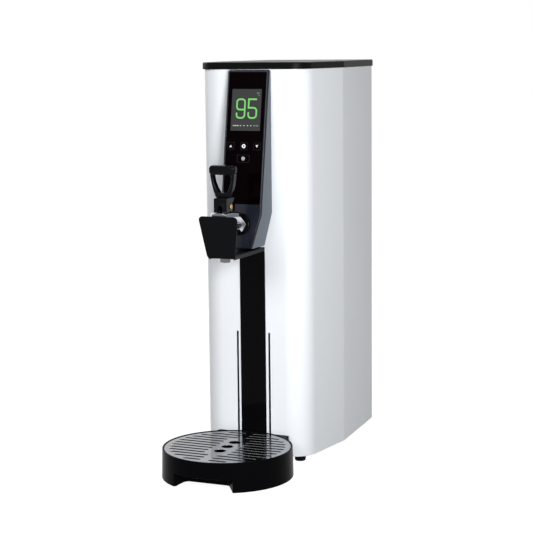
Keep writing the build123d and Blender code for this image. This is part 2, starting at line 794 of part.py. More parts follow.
def tap_washer():
    """Round washer on the leaning front, round the level shank."""
    washer = panel_bar(WASHER_D, 0, down_panel(TAP_Z), (0, WASHER_T))
    rim = washer.faces().sort_by(Axis(PANEL.origin, PANEL.z_dir))[-1].edges()
    washer = fillet(rim, WASHER_T / 3)
    return washer - bar_y(SHANK_D + 2 * FIT, 0, (-TAP_Y, 0), TAP_Z)


def tap_locknut():
    """Nut on the shank, behind the front sheet."""
    nut = hex_y(NUT_AF, 0, (SHEET, SHEET + NUT_T), TAP_Z)
    return nut - bar_y(SHANK_D + 2 * RUN_FIT, 0, (0, SHANK_TAIL), TAP_Z)


def tap_bonnet():
    """Hexagonal bonnet on the barrel, turned off round its corners, with a plug and the stem's bore."""
    flat, corner = BONNET_AF / 2, BONNET_AF / sqrt(3)
    turned = BARREL_TOP - (corner - flat) * tan(radians(30))
    hexagon = extrude(Pos(0, -TAP_Y, BARREL_RIM) * RegularPolygon(flat, 6, major_radius=False), BONNET_T)
    round_off = [(0, BARREL_RIM), (corner, BARREL_RIM), (corner, turned), (flat, BARREL_TOP), (0, BARREL_TOP)]
    bonnet = hexagon & revolved(round_off)
    bonnet += bar_z(CHAMBER_D - 2 * RUN_FIT, 0, -TAP_Y, (BARREL_TOP - PLUG_L, BARREL_TOP))
    return bonnet - bar_z(STEM_D + 2 * RUN_FIT, 0, -TAP_Y, (BARREL_TOP - PLUG_L, BARREL_TOP))


def handle_pin():
    """Brass pivot pin through the handle's base and the stem, with a low head at each end."""
    half = BASE_W / 2
    pin = bar_x(PIN_D, (-half, half), -TAP_Y, PIN_Z)
    for head in sides(bar_x(PIN_HEAD_D, (half, half + PIN_HEAD_T), -TAP_Y, PIN_Z)):
        pin += head
    return pin


def cam_point(swing):
    """Point of the cam that rests on the bonnet after a swing: each degree lifts the pivot equally."""
    turn = radians(swing)
    drop = CAM_DROP + CAM_R * turn
    return Vector(-drop * sin(turn) - CAM_R * cos(turn), -drop * cos(turn) + CAM_R * sin(turn))


def handle_base():
    """Base of the handle: a flat sole that rolls up into a cam at the front, slotted for the stem."""
    heel, tip = cam_point(0), cam_point(HANDLE_SWING)
    ends = [Vector(-1, 0), Vector(-cos(radians(HANDLE_SWING)), sin(radians(HANDLE_SWING)))]
    cam = Spline([cam_point(HANDLE_SWING * i / CAM_STEPS) for i in range(CAM_STEPS + 1)], tangents=ends)
    rest = Polyline(tip, (tip.X, BASE_UP), (-tip.X, BASE_UP), (-tip.X, heel.Y), heel)
    side = make_face([cam, rest])
    side = fillet([v for v in side.vertices() if v.Y > 0 or v.X > 0], BASE_R)
    base = extrude(Plane.YZ * side, BASE_W / 2, both=True)
    base = chamfer(base.edges().group_by(Axis.X)[0] + base.edges().group_by(Axis.X)[-1], BASE_EDGE)
    half = STEM_D / 2 + FIT
    base -= block((-half, half), (-2 * BASE_W, half), (-2 * BASE_W, BASE_SLOT_UP))
    base -= bar_x(2 * hypot(STEM_END, STEM_D / 2) + 2 * FIT, (-half, half), 0, 0)
    return base - bar_x(PIN_D + 2 * RUN_FIT, (-BASE_W, BASE_W), 0, 0)


def loop_outline(inset):
    """Outline of the loop from the front, in heights above the base: its legs curve in to their foot."""
    low = inset * LOOP_FOOT / LOOP_LEG - LOOP_BITE
    high = LOOP_TOP - BASE_UP - inset * LOOP_BAR / LOOP_LEG
    wide, base = LEGS_W / 2 - inset, LOOP_BASE_W / 2 - inset
    leg = TangentArc((wide, high), (base, low), tangent=(0, -1))
    ends = [Line((base, low), (-base, low)), Line((-wide, high), (wide, high))]
    outline = make_face([leg, mirror(leg, Plane.YZ), *ends])
    return fillet(outline.vertices(), LOOP_LEG - inset / 2)


def tap_handle():
    """Loop handle, leaning forward a little, on a base that rocks on the bonnet and draws the stem up."""
    loop = extrude(Plane.XZ * (loop_outline(0) - loop_outline(LOOP_LEG)), LOOP_DEEP / 2, both=True)
    loop = fillet(loop.edges().filter_by(Plane.XZ), LOOP_ROUND)
    half, deep, high = LOOP_W / 2, LOOP_BAR_DEEP / 2, LOOP_TOP - BASE_UP
    top = block((-half, half), (-deep, deep), (high - LOOP_BAR, high))
    loop += fillet(top.edges(), LOOP_BAR_R)
    return Pos(0, -TAP_Y, PIN_Z) * (handle_base() + Pos(0, 0, BASE_UP) * Rot(LOOP_LEAN, 0, 0) * loop)


def tap_stem():
    """Brass stem with a collar for the spring, and the pivot's hole across its upper end."""
    bottom = SEAT_Z + CUP_T - CUP_SOCKET
    stem = bar_z(STEM_D, 0, -TAP_Y, (bottom, PIN_Z + STEM_END))
    collar = TAP_Z + STEM_COLLAR_UP
    stem += bar_z(STEM_COLLAR_D, 0, -TAP_Y, (collar, collar + STEM_COLLAR_T))
    return stem - bar_x(PIN_D + 2 * RUN_FIT, (-STEM_D, STEM_D), -TAP_Y, PIN_Z)


def seat_cup():
    """Silicone cup that closes the spout's waterway."""
    cup = bar_z(CUP_D, 0, -TAP_Y, (SEAT_Z, SEAT_Z + CUP_T))
    return cup - bar_z(STEM_D + 2 * RUN_FIT, 0, -TAP_Y, (SEAT_Z + CUP_T - CUP_SOCKET, SEAT_Z + CUP_T))


def biarc(start, start_dir, end, end_dir):
    """Two arcs that join two points smoothly, leaving and arriving along given directions."""
    chord = end - start
    both = start_dir + end_dir
    spread = 2 * (1 - start_dir.dot(end_dir))
    along = chord.dot(both)
    reach = (-along + sqrt(along * along + spread * chord.dot(chord))) / spread
    first, second = start + start_dir * reach, end - end_dir * reach
    middle = (first + second) / 2
    turn = (second - first).normalized()
    return [TangentArc(start, middle, tangent=start_dir), TangentArc(middle, end, tangent=turn)]


def spring_point(turn):
    """Point and direction of the spring's wire after a number of turns."""
    radius = (SPRING_D - WIRE_D) / 2
    rise = (SPRING_Z[1] - SPRING_Z[0] - WIRE_D - 4 * RUN_FIT) / SPRING_TURNS
    angle = 2 * pi * turn
    point = Vector(radius * cos(angle), radius * sin(angle), turn * rise)
    way = Vector(-radius * sin(angle), radius * cos(angle), rise / (2 * pi)).normalized()
    return point + Vector(0, -TAP_Y, SPRING_Z[0] + WIRE_D / 2 + 2 * RUN_FIT), way


def stem_spring():
    """Coil spring between the stem's collar and the bonnet's plug."""
    steps = ceil(SPRING_TURNS * 4)
    knots = [spring_point(SPRING_TURNS * i / steps) for i in range(steps + 1)]
    arcs = [arc for a, b in zip(knots, knots[1:]) for arc in biarc(*a, *b)]
    path = Wire(arcs)
    return sweep(Plane(origin=path @ 0, z_dir=path % 0) * Circle(WIRE_D / 2), path)


def spring_gap():
    """Least space between neighbouring turns of the spring, measured on points."""
    turns = [i / 48 for i in range(int((SPRING_TURNS - 1) * 48))]
    return min(dist(spring_point(t)[0], spring_point(t + 1)[0]) for t in turns) - WIRE_D


def hot_guard():
    """Leaning splash guard on a folded shelf, with a tab against the front sheet."""
    corners = [
        (-GUARD_END_W / 2, 0),
        (GUARD_END_W / 2, 0),
        (GUARD_TOP_W / 2, GUARD_H),
        (-GUARD_TOP_W / 2, GUARD_H),
    ]
    plate = make_face(Polyline(*corners, close=True))
    plate = fillet(plate.vertices().group_by(Axis.Y)[-1], GUARD_TOP_R)
    plate = fillet(plate.vertices().group_by(Axis.Y)[0], GUARD_END_R)
    guard = extrude(GUARD * plate, -GUARD_T)
    half = SHELF_W / 2
    front = -GUARD_Y - GUARD_T / 2 + SHELF_LAP * tan(radians(GUARD_LEAN))
    shelf = block((-half, half), (front, 0), (SHELF_Z - GUARD_T, SHELF_Z))
    for x in ((-half, GUARD_T - half), (half - GUARD_T, half)):
        shelf += block(x, (front + GUARD_T, 0), (SHELF_Z - SHELF_EDGE, SHELF_Z))
    half = TAB_W / 2
    shelf += block((-half, half), (-GUARD_T, 0), (SHELF_Z - GUARD_T, SHELF_Z + TAB_H))
    shelf -= bar_z(SPOUT_D + 2 * SPOUT_ROOM, 0, -TAP_Y, (SHELF_Z - GUARD_T, SHELF_Z))
    for x, z in guard_screw_places():
        shelf -= bar_y(screw_hole(M3), x, (-GUARD_T, 0), z)
    return guard + shelf


def guard_screws():
    """Screws through the guard's tab into the front sheet."""
    return group([screw_y(M3, x, z, -GUARD_T, SHEET + SCREW_REACH) for x, z in guard_screw_places()])


def tray_carrier():
    """Plate behind the front sheet with two arms that pass the slots and fork under the tray."""
    back = SHEET + FIT + PLATE_T
    profile = [
        (back, ARM_BOTTOM),
        (back, ARM_TOP),
        (0, ARM_TOP),
        (0, HOOK_TOP),
        (-ARM_OUT, HOOK_TOP),
        (-ARM_OUT, FORK_TOP),
        (-FORK_REACH, FORK_TOP),
        (-FORK_REACH, FORK_BOTTOM),
        (-FIT, FORK_BOTTOM),
        (-FIT, ARM_BOTTOM),
    ]
    arm = extrude(Plane.YZ * make_face(Polyline(*profile, close=True)), ARM_T / 2, both=True)
    half = SLOT_X + PLATE_EDGE
    carrier = block((-half, half), (SHEET + FIT, back), (ARM_BOTTOM, ARM_TOP))
    for x in (-SLOT_X, SLOT_X):
        carrier += Pos(x, 0, 0) * arm
    return carrier


def carrier_rails():
    """Stepped rails on the front sheet that hold the carrier's plate at its edges."""
    edge = SLOT_X + PLATE_EDGE
    cap = SHEET + PLATE_T + 2 * FIT
    heights = (FLOOR_Z + FIT, SLOT_TOP + RAIL_OVER)
    rail = block((edge + FIT, edge + RAIL_PAD), (SHEET, cap), heights)
    rail += block((edge - RAIL_LAP, edge + RAIL_PAD), (cap, cap + RAIL_T), heights)
    return group(sides(rail))


def finger_pocket(grow):
    """Plan of the pocket behind the tray's front: its sides close in from the rim to a rounded back."""
    half, front = NOTCH_W / 2, -TRAY_Y - TRAY_R
    rim = -TRAY_Y - sqrt(TRAY_R * TRAY_R - half * half)
    right = ((half, front - NOTCH_DEEP), (half, rim), (half - NOTCH_SPLAY, front + NOTCH_DEEP))
    face = make_face(Polyline(*right, *[(-x, y) for x, y in reversed(right)], close=True))
    face = fillet(face.vertices().group_by(Axis.Y)[-1], NOTCH_R)
    return offset(face, grow, kind=Kind.INTERSECTION) if grow else face


def under_pocket():
    """Space under the pocket's walls, which sweep up from the tray's foot to the back's lower edge."""
    wide, narrow = NOTCH_W / 2 + TRAY_FLOOR, NOTCH_W / 2 - NOTCH_SPLAY
    bend = (wide + narrow) / 2
    sweep_up = Bezier((wide, 0), (bend, 0), (bend, NOTCH_LIP), (narrow, NOTCH_LIP))
    ends = [Line((narrow, NOTCH_LIP), (-narrow, NOTCH_LIP)), Line((-wide, 0), (wide, 0))]
    return extrude(Plane.XZ * make_face([sweep_up, mirror(sweep_up, Plane.YZ), *ends]), 2 * TRAY_Y + TRAY_R)


def tray_bowl():
    """Drip tray: a drafted round bowl with a raised floor, a rear block and a finger notch."""
    middle = Pos(0, -TRAY_Y)
    bowl = extrude(middle * Circle(TRAY_BASE_R), TRAY_H, taper=TRAY_DRAFT)
    half = BLOCK_W / 2
    back = block((-half, half), (-TRAY_BACK - BLOCK_DEEP, -TRAY_BACK), (0, BLOCK_H))
    back = fillet(back.edges().filter_by(Axis.Z).group_by(Axis.Y)[-1], TRAY_WALL)
    bowl += back
    floor = TRAY_UNDER + TRAY_FLOOR
    ledge = TRAY_H - GRILLE_SINK - GRILLE_T
    low_r = TRAY_IN_R - TRAY_LEDGE
    bowl -= bar_z(2 * low_r, 0, -TRAY_Y, (floor, TRAY_H))
    bowl -= bar_z(2 * TRAY_IN_R, 0, -TRAY_Y, (ledge, TRAY_H))
    bowl -= bar_z(2 * low_r, 0, -TRAY_Y, (0, TRAY_UNDER))
    arm = SLOT_X + ARM_T / 2 + 4 * TRAY_WALL
    wall = half - TRAY_WALL
    core = block((arm, wall), (-TRAY_BACK - BLOCK_DEEP, -TRAY_BACK - TRAY_WALL), (0, BLOCK_H - TRAY_WALL))
    core -= bar_z(2 * TRAY_R, 0, -TRAY_Y, (0, TRAY_H))
    for pocket in sides(core):
        bowl -= pocket
    hood = extrude(finger_pocket(TRAY_FLOOR), NOTCH_H + TRAY_FLOOR) - under_pocket()
    bowl += hood & bar_z(2 * low_r + TRAY_LEDGE, 0, -TRAY_Y, (0, TRAY_H))
    bowl -= extrude(finger_pocket(0), NOTCH_H)
    room = ARM_T / 2 + ARM_ROOM
    for x in (-SLOT_X, SLOT_X):
        bowl -= block((x - room, x + room), (-ARM_OUT - ARM_ROOM, 0), (0, HOOK_TOP + ARM_ROOM))
        bowl -= block((x - room, x + room), (-BLOCK_DEEP, 0), (0, TRAY_UNDER))
    return Pos(0, 0, TRAY_LIFT) * bowl


def tray_grille():
    """Round steel cover: rows of slots either side of a web, and three drain holes along it."""
    radius = TRAY_IN_R - FIT * 2
    grille = Circle(radius)
    reach = radius - ROW_EDGE
    for row in range(GRILLE_ROWS):
        y = (row - (GRILLE_ROWS - 1) / 2) * ROW_PITCH
        by_holes = abs(y) < HOLE_PITCH + HOLE_D / 2 + 1.5 * ROW_W
        near = (WIDE_WEB_W if by_holes else WEB_W) / 2
        far = sqrt(reach * reach - y * y)
        for side in (-1, 1):
            grille -= Pos(side * (near + far) / 2, y) * SlotOverall(far - near, ROW_W)
    for place in (-1, 0, 1):
        grille -= Pos(0, place * HOLE_PITCH) * Circle(HOLE_D / 2)
    return extrude(Pos(0, -TRAY_Y, GRILLE_Z + 2 * RUN_FIT) * grille, GRILLE_T)


def stand_places():
    """Centres of the four legs of the tank's stand."""
    half = STAND_HALF - STAND_PAD / 2
    return [(x, TANK_Y + y) for x in (-half, half) for y in (-half, half)]


def tank_ring(outer_d, inner_d, z):
    """Ring about the tank's axis."""
    return bar_z(outer_d, 0, TANK_Y, z) - bar_z(inner_d, 0, TANK_Y, z)


def tank_ports():
    """Places of the inlet and drain in the tank's floor."""
    return [(-PORT_OFFSET_X, TANK_Y + PORT_OFFSET_Y), (PORT_OFFSET_X, TANK_Y + PORT_OFFSET_Y)]


def lid_screw_places():
    """Places of the screws round the tank's flange."""
    radius = TANK_FLANGE_R - M3[1] / 2 - 1
    turns = [2 * pi * (i + 0.5) / TANK_SCREWS for i in range(TANK_SCREWS)]
    return [(radius * cos(t), TANK_Y + radius * sin(t)) for t in turns]


def tank_shell():
    """Steel boiler, open at the top under a flange, with ports in its floor and front."""
    shell = bar_z(TANK_D, 0, TANK_Y, (TANK_Z, TANK_TOP))
    shell += bar_z(2 * TANK_FLANGE_R, 0, TANK_Y, (TANK_TOP - TANK_WALL, TANK_TOP))
    shell -= bar_z(TANK_D - 2 * TANK_WALL, 0, TANK_Y, (TANK_Z + TANK_WALL, TANK_TOP))
    shell -= bar_z(ELEMENT_PLUG_D + 2 * FIT, 0, TANK_Y, (TANK_Z, TANK_Z + TANK_WALL))
    for x, y in tank_ports():
        shell -= bar_z(PIPE_D - 2 * PIPE_WALL, x, y, (TANK_Z, TANK_Z + TANK_WALL))
    shell -= bar_y(PIPE_D + 2 * FIT, 0, (TANK_Y - TANK_D, TANK_Y), TANK_Z + OUTLET_UP)
    for x, y in lid_screw_places():
        shell -= bar_z(screw_hole(M3), x, y, (TANK_TOP - TANK_WALL, TANK_TOP))
    return shell


def tank_gasket():
    """Silicone ring under the tank's lid."""
    gasket = tank_ring(2 * TANK_FLANGE_R, TANK_D - 2 * TANK_WALL, (TANK_TOP, TANK_LID_Z))
    for x, y in lid_screw_places():
        gasket -= bar_z(screw_hole(M3), x, y, (TANK_TOP, TANK_LID_Z))
    return gasket


def probe_places():
    """Places of the level probes in the tank's lid."""
    count = len(PROBE_LENGTHS)
    return [((i - (count - 1) / 2) * PROBE_PITCH, TANK_Y - PROBE_Y) for i in range(count)]


def sensor_place():
    """Place of the temperature probe in the tank's lid."""
    return -PROBE_PITCH, TANK_Y + PROBE_Y


def tank_lid():
    """Flat cover of the tank, with holes for the probes, the sensor and the vent."""
    lid_span = (TANK_LID_Z, TANK_LID_Z + TANK_LID_T)
    lid = bar_z(2 * TANK_FLANGE_R, 0, TANK_Y, lid_span)
    for x, y in probe_places() + [sensor_place()]:
        lid -= bar_z(PROBE_D + 2 * FIT, x, y, lid_span)
    lid -= bar_z(PIPE_D + 2 * FIT, VENT_X, TANK_Y + VENT_BACK, lid_span)
    for x, y in lid_screw_places():
        lid -= bar_z(screw_hole(M3), x, y, lid_span)
    return lid


def tank_screws():
    """Screws round the tank's lid."""
    face = TANK_LID_Z + TANK_LID_T
    return group([screw_z(M3, x, y, face, TANK_TOP - SCREW_REACH) for x, y in lid_screw_places()])


def tank_jacket():
    """Foam jacket round the tank."""
    span = (TANK_Z + STAND_T, TANK_TOP - JACKET_MARGIN)
    jacket = tank_ring(TANK_D + 2 * (FIT + JACKET_T), TANK_D + 2 * FIT, span)
    return jacket - bar_y(PIPE_D + 4 * FIT, 0, (TANK_Y - 2 * TANK_D, TANK_Y), TANK_Z + OUTLET_UP)


def tank_stand():
    """Ring plate under the tank on four angled legs with foot pads."""
    half = STAND_HALF
    stand = block((-half, half), (TANK_Y - half, TANK_Y + half), (TANK_Z - STAND_T, TANK_Z))
    stand -= bar_z(STAND_HOLE, 0, TANK_Y, (TANK_Z - STAND_T, TANK_Z))
    for sx in (-1, 1):
        for sy in (-1, 1):
            x, y = sx * half, TANK_Y + sy * half
            web = (FLOOR_Z, TANK_Z)
            stand += block(sorted((x, x - sx * STAND_T)), sorted((y, y - sy * STAND_LEG)), web)
            stand += block(sorted((x, x - sx * STAND_LEG)), sorted((y, y - sy * STAND_T)), web)
            pad = (FLOOR_Z, FLOOR_Z + STAND_T)
            stand += block(sorted((x, x - sx * STAND_PAD)), sorted((y, y - sy * STAND_PAD)), pad)
    for x, y in stand_places():
        stand -= bar_z(screw_hole(M3), x, y, (FLOOR_Z, FLOOR_Z + STAND_T))
    return stand


def stand_screws():
    """Screws through the stand's pads into the base pan."""
    face = FLOOR_Z + STAND_T
    return group([screw_z(M3, x, y, face, FOOT_H + SHEET) for x, y in stand_places()])


def heating_element():
    """Screw plug in the tank's floor with two rod loops and its terminals."""
    flange = (TANK_Z - ELEMENT_FLANGE_T, TANK_Z)
    plug = bar_z(ELEMENT_PLUG_D, 0, TANK_Y, (flange[0], TANK_Z + 4 * TANK_WALL))
    plug += bar_z(ELEMENT_FLANGE_D, 0, TANK_Y, flange)
    below = Pos(0, TANK_Y, flange[0] - ELEMENT_HEX_T)
    plug += extrude(below * RegularPolygon(ELEMENT_HEX / 2, 6, major_radius=False), ELEMENT_HEX_T)
    half = ELEMENT_HALF
    for turn, high in ((0, ELEMENT_H), (90, ELEMENT_H - ELEMENT_STEP)):
        route = [(-half, 0, 0), (-half, 0, high), (half, 0, high), (half, 0, 0)]
        path = FilletPolyline(*route, radius=0.9 * half)
        rod = sweep(Pos(-half, 0, 0) * Circle(ELEMENT_ROD_D / 2), path)
        plug += Pos(0, TANK_Y, TANK_Z) * Rot(0, 0, turn) * rod
        for x in (-half, half):
            pin = bar_z(PROBE_D, x, 0, (-ELEMENT_PIN_L, 0))
            plug += below * Rot(0, 0, turn) * pin
    return plug


def probe(x, y, length):
    """Rod through the tank's lid, with a cap that seats on it."""
    face = TANK_LID_Z + TANK_LID_T
    rod = bar_z(PROBE_D, x, y, (face - length, face))
    return rod + bar_z(PROBE_CAP_D, x, y, (face, face + PROBE_CAP_H))


def level_probes():
    """Three level probes of different lengths."""
    return group([probe(x, y, length) for (x, y), length in zip(probe_places(), PROBE_LENGTHS)])


def temp_probe():
    """Temperature probe."""
    return probe(*sensor_place(), SENSOR_L)


def thermal_cutout():
    """Round cut-out on the tank's lid, with two tags."""
    face = TANK_LID_Z + TANK_LID_T
    x, y = PROBE_PITCH * 2, TANK_Y
    cutout = bar_z(CUTOUT_D, x, y, (face, face + CUTOUT_H))
    for side in (-1, 1):
        tag = x + side * CUTOUT_D / 4
        cutout += block((tag - 0.4, tag + 0.4), (y - 3, y + 3), (face, face + 2 * CUTOUT_H))
    return cutout


def outlet_pipe():
    """Pipe from the tank's front to the tail of the tap's shank."""
    turn_y = (TANK_Y - TANK_D / 2 - JACKET_T + SHEET + SHANK_TAIL) / 2 + PIPE_D / 4
    low = TANK_Z + OUTLET_UP
    route = [(0, TANK_Y - TANK_D / 2 + 2 * TANK_WALL, low), (0, turn_y, low), (0, turn_y, TAP_Z)]
    return pipe(route + [(0, SHEET + SHANK_TAIL, TAP_Z)], PIPE_D, PIPE_D - 2 * PIPE_WALL)


def vent_pipe():
    """Steam vent from the tank's lid, over and down the back, and out of the rear panel."""
    y, down_y = TANK_Y + VENT_BACK, DEPTH - VENT_DOWN_IN
    face = TANK_LID_Z + TANK_LID_T
    high = face + VENT_RISE
    route = [(VENT_X, y, TANK_LID_Z), (VENT_X, y, high), (VENT_X, down_y, high), (VENT_X, down_y, VENT_Z)]
    bore = PIPE_D - 2 * PIPE_WALL
    tube = pipe(route + [(VENT_X, DEPTH + VENT_OUT, VENT_Z)], PIPE_D, bore)
    ring_d = PIPE_D + 2 * SEAT_RING
    rings = bar_z(ring_d, VENT_X, y, (face, face + SEAT_T))
    rings += bar_y(ring_d, VENT_X, (REAR_IN + REAR_T, REAR_IN + REAR_T + SEAT_T), VENT_Z)
    rings -= bar_z(PIPE_D, VENT_X, y, (face, face + SEAT_T))
    return tube + (rings - bar_y(PIPE_D, VENT_X, (REAR_IN, DEPTH + SEAT_T), VENT_Z))


def inlet_valve():
    """Inlet valve on the rear panel, with its threaded spigot outside and a nipple inside."""
    x, half = -PORT_OFFSET_X, VALVE_W / 2
    front = REAR_IN - VALVE_FLANGE_T - VALVE_L
    valve = block(
        (x - half, x + half),
        (front, REAR_IN - VALVE_FLANGE_T),
        (INLET_Z - VALVE_H / 2, INLET_Z + VALVE_H / 2),
    )
    valve += bar_y(VALVE_FLANGE_D, x, (REAR_IN - VALVE_FLANGE_T, REAR_IN), INLET_Z)
    valve += bar_y(INLET_D, x, (REAR_IN, DEPTH + INLET_OUT), INLET_Z)
    valve += bar_y(INLET_D + 2 * SEAT_RING, x, (REAR_IN + REAR_T, REAR_IN + REAR_T + SEAT_T), INLET_Z)
    valve += bar_y(PIPE_D, x, (front - NIPPLE_L, front), INLET_Z)
    bore = PIPE_D - 2 * PIPE_WALL
    valve -= bar_y(INLET_D - 8, x, (DEPTH, DEPTH + INLET_OUT), INLET_Z)
    return valve - bar_y(bore, x, (front - NIPPLE_L, DEPTH), INLET_Z)


def valve_coil():
    """Coil on top of the inlet valve, with its connector tags."""
    x, half = -PORT_OFFSET_X, COIL_W / 2
    y = REAR_IN - VALVE_FLANGE_T - VALVE_L / 2
    low = INLET_Z + VALVE_H / 2
    coil = block((x - half, x + half), (y - half, y + half), (low, low + COIL_H))
    coil = fillet(coil.edges().filter_by(Axis.Z), COIL_W / 8)
    for side in (-1, 1):
        tag = x + side * COIL_W / 4
        coil += block((tag - 3, tag + 3), (y - 0.4, y + 0.4), (low + COIL_H, low + COIL_H + 8))
    return coil


def inlet_pipe():
    """Pipe from the inlet valve to the tank's floor."""
    x, y = tank_ports()[0]
    start = REAR_IN - VALVE_FLANGE_T - VALVE_L - NIPPLE_L
    return pipe([(x, start, INLET_Z), (x, y, INLET_Z), (x, y, TANK_Z)], PIPE_D, PIPE_D - 2 * PIPE_WALL)


def drain_pipe():
    """Pipe from the tank's floor out of the rear panel."""
    x, y = tank_ports()[1]
    route = [(x, y, TANK_Z), (x, y, DRAIN_Z), (x, DEPTH + DRAIN_OUT, DRAIN_Z)]
    return pipe(route, PIPE_D, PIPE_D - 2 * PIPE_WALL)


def drain_cap():
    """Knurled cap on the end of the drain."""
    end = DEPTH + DRAIN_OUT
    cap = bar_y(CAP_D, PORT_OFFSET_X, (end + 3 - CAP_L, end + 3), DRAIN_Z)
    return cap - bar_y(PIPE_D + 2 * RUN_FIT, PORT_OFFSET_X, (end - CAP_L, end), DRAIN_Z)


def cable_gland():
    """Empty mains gland, clamped through the rear panel."""
    x, z, face = GLAND_X, GLAND_Z, REAR_IN + REAR_T
    gland = hex_y(GLAND_AF, x, (face, face + GLAND_HEX_T), z)
    dome = bar_y(GLAND_DOME_D, x, (face, face + GLAND_HEX_T + GLAND_DOME_L), z)
    gland += fillet(dome.faces().sort_by(Axis.Y)[-1].edges(), GLAND_DOME_L / 3)
    gland += bar_y(GLAND_THREAD_D, x, (REAR_IN - 2 * GLAND_NUT_T, face), z)
    gland += hex_y(GLAND_AF, x, (REAR_IN - GLAND_NUT_T, REAR_IN), z)
    return gland - bar_y(GLAND_BORE, x, (REAR_IN - 2 * GLAND_NUT_T, DEPTH + INLET_OUT), z)


def standing(size, x, y, z):
    """Box of a given size that stands on a height, from its left front corner."""
    return block((x, x + size[0]), (y, y + size[1]), (z, z + size[2]))


def power_board():
    """Power board on four posts, with its relays, transformer and heat sink."""
    half = POWER_W / 2
    low = FLOOR_Z + POWER_LIFT
    top = low + BOARD_T
    board = block((-half, half), (POWER_Y, POWER_Y + POWER_D), (low, top))
    inset = POWER_POST_D
    for x in (inset - half, half - inset):
        for y in (POWER_Y + inset, POWER_Y + POWER_D - inset):
            board += bar_z(POWER_POST_D, x, y, (FLOOR_Z, low))
    left, front = POWER_EDGE - half, POWER_Y + POWER_EDGE
    for i in range(RELAYS):
        board += standing(RELAY, left + i * RELAY_PITCH, front, top)
    board += standing(TRANSFORMER, half - POWER_EDGE - TRANSFORMER[0], front, top)
    for i in range(FINS):
        board += standing(FIN, left + i * FIN_PITCH, front + RELAY[1] + POWER_EDGE / 2, top)
    return board


def terminal_block():
    """Mains terminal block on the base pan."""
    left = GLAND_X - TERMINAL_BESIDE - TERMINAL_W / 2
    y = DEPTH - TERMINAL_IN
    body = standing((TERMINAL_W, TERMINAL_D, TERMINAL_H), left, y - TERMINAL_D, FLOOR_Z)
    pitch = TERMINAL_W / TERMINAL_POLES
    for pole in range(TERMINAL_POLES):
        x = left + (pole + 0.5) * pitch
        body -= bar_y(pitch * 0.5, x, (y - TERMINAL_D, y), FLOOR_Z + TERMINAL_H * 0.4)
        body -= bar_z(pitch * 0.45, x, y - TERMINAL_D / 2, (FLOOR_Z + TERMINAL_H * 0.6, FLOOR_Z + TERMINAL_H))
    return body


PIECES = [
    body_shell, base_pan, feet, foot_screws, top_lid, lid_screws, rear_panel, rear_screws,
    control_housing, housing_screws, panel_bezel, display_overlay, display_module, control_board,
    board_screws, tact_switches, front_strip, tap_body, tap_washer, tap_locknut, tap_bonnet,
    handle_pin, tap_handle, tap_stem, seat_cup, stem_spring, hot_guard, guard_screws, tray_carrier,
    carrier_rails, tray_bowl, tray_grille, tank_shell, tank_gasket, tank_lid, tank_screws, tank_jacket,
    tank_stand, stand_screws, heating_element, level_probes, temp_probe, thermal_cutout, outlet_pipe,
    vent_pipe, inlet_valve, valve_coil, inlet_pipe, drain_pipe, drain_cap, cable_gland, power_board,
    terminal_block,
]


def write_parts():
    """Write one file for each piece, in the object's own frame."""
    os.makedirs("parts", exist_ok=True)
    pieces = {piece.__name__: piece() for piece in PIECES}
    pieces.update({name: key(name) for name in KEYS})
    for name, solid in pieces.items():
        export_step(Pos(0, -Y_MIDDLE, 0) * solid, f"parts/{name}.step")
    print(f"origin behind the front face: {Y_MIDDLE:.3f}")
    print(f"stroke of the stem: {STEM_STROKE:.4f}")
    print(f"least gap between the spring's turns: {spring_gap():.3f}")


write_parts()
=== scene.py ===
"""Countertop hot water dispenser: the looks of its pieces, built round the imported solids.

Laid out as an add-on and run as a script. Lengths are metres in the frame of the solids: the user
stands at -Y, the floor is Z = 0, and the origin lies under the middle of the object.
"""

import json
from math import atan2, cos, pi, radians, sin, tan

import bmesh
import bpy
from bpy.props import FloatProperty, FloatVectorProperty, IntProperty, PointerProperty
from mathutils import Matrix, Vector


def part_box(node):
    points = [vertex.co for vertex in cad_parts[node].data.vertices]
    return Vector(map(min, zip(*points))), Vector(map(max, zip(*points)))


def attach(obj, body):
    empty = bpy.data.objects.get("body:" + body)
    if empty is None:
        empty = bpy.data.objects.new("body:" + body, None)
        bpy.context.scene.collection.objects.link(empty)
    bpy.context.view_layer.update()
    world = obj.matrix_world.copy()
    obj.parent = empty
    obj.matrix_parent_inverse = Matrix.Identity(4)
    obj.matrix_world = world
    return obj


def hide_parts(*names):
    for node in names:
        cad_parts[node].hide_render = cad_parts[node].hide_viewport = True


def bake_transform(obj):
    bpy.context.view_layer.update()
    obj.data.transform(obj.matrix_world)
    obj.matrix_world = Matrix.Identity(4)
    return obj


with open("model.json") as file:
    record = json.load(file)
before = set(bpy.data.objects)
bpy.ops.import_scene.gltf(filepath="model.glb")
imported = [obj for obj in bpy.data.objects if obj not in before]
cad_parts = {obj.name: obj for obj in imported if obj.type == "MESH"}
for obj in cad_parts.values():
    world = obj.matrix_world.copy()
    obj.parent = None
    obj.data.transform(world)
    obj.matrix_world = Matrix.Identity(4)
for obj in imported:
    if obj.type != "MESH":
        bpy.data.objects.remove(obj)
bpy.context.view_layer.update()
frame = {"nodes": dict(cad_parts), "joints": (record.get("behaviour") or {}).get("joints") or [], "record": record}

bl_info = {
    "name": "Hot water dispenser",
    "version": (1, 0, 0),
    "blender": (4, 5, 0),
    "location": "3D View > Sidebar > Dispenser",
    "description": "Builds the pieces, finishes and studio of a countertop hot water dispenser",
    "category": "Object",
}

MM = 0.001

# Camera of the photograph
PHOTO_SIDE = 533  # pixels of the square picture
PHOTO_FOCUS = 1552.15  # focal length in those pixels
SENSOR = 36.0  # width of the camera's sensor in millimetres
EYE = (932.1 * MM, -2162.9 * MM, 626.6 * MM)
EYE_AZIMUTH, EYE_HEIGHT, EYE_ROLL = radians(23.329), radians(8.166), radians(-0.611)

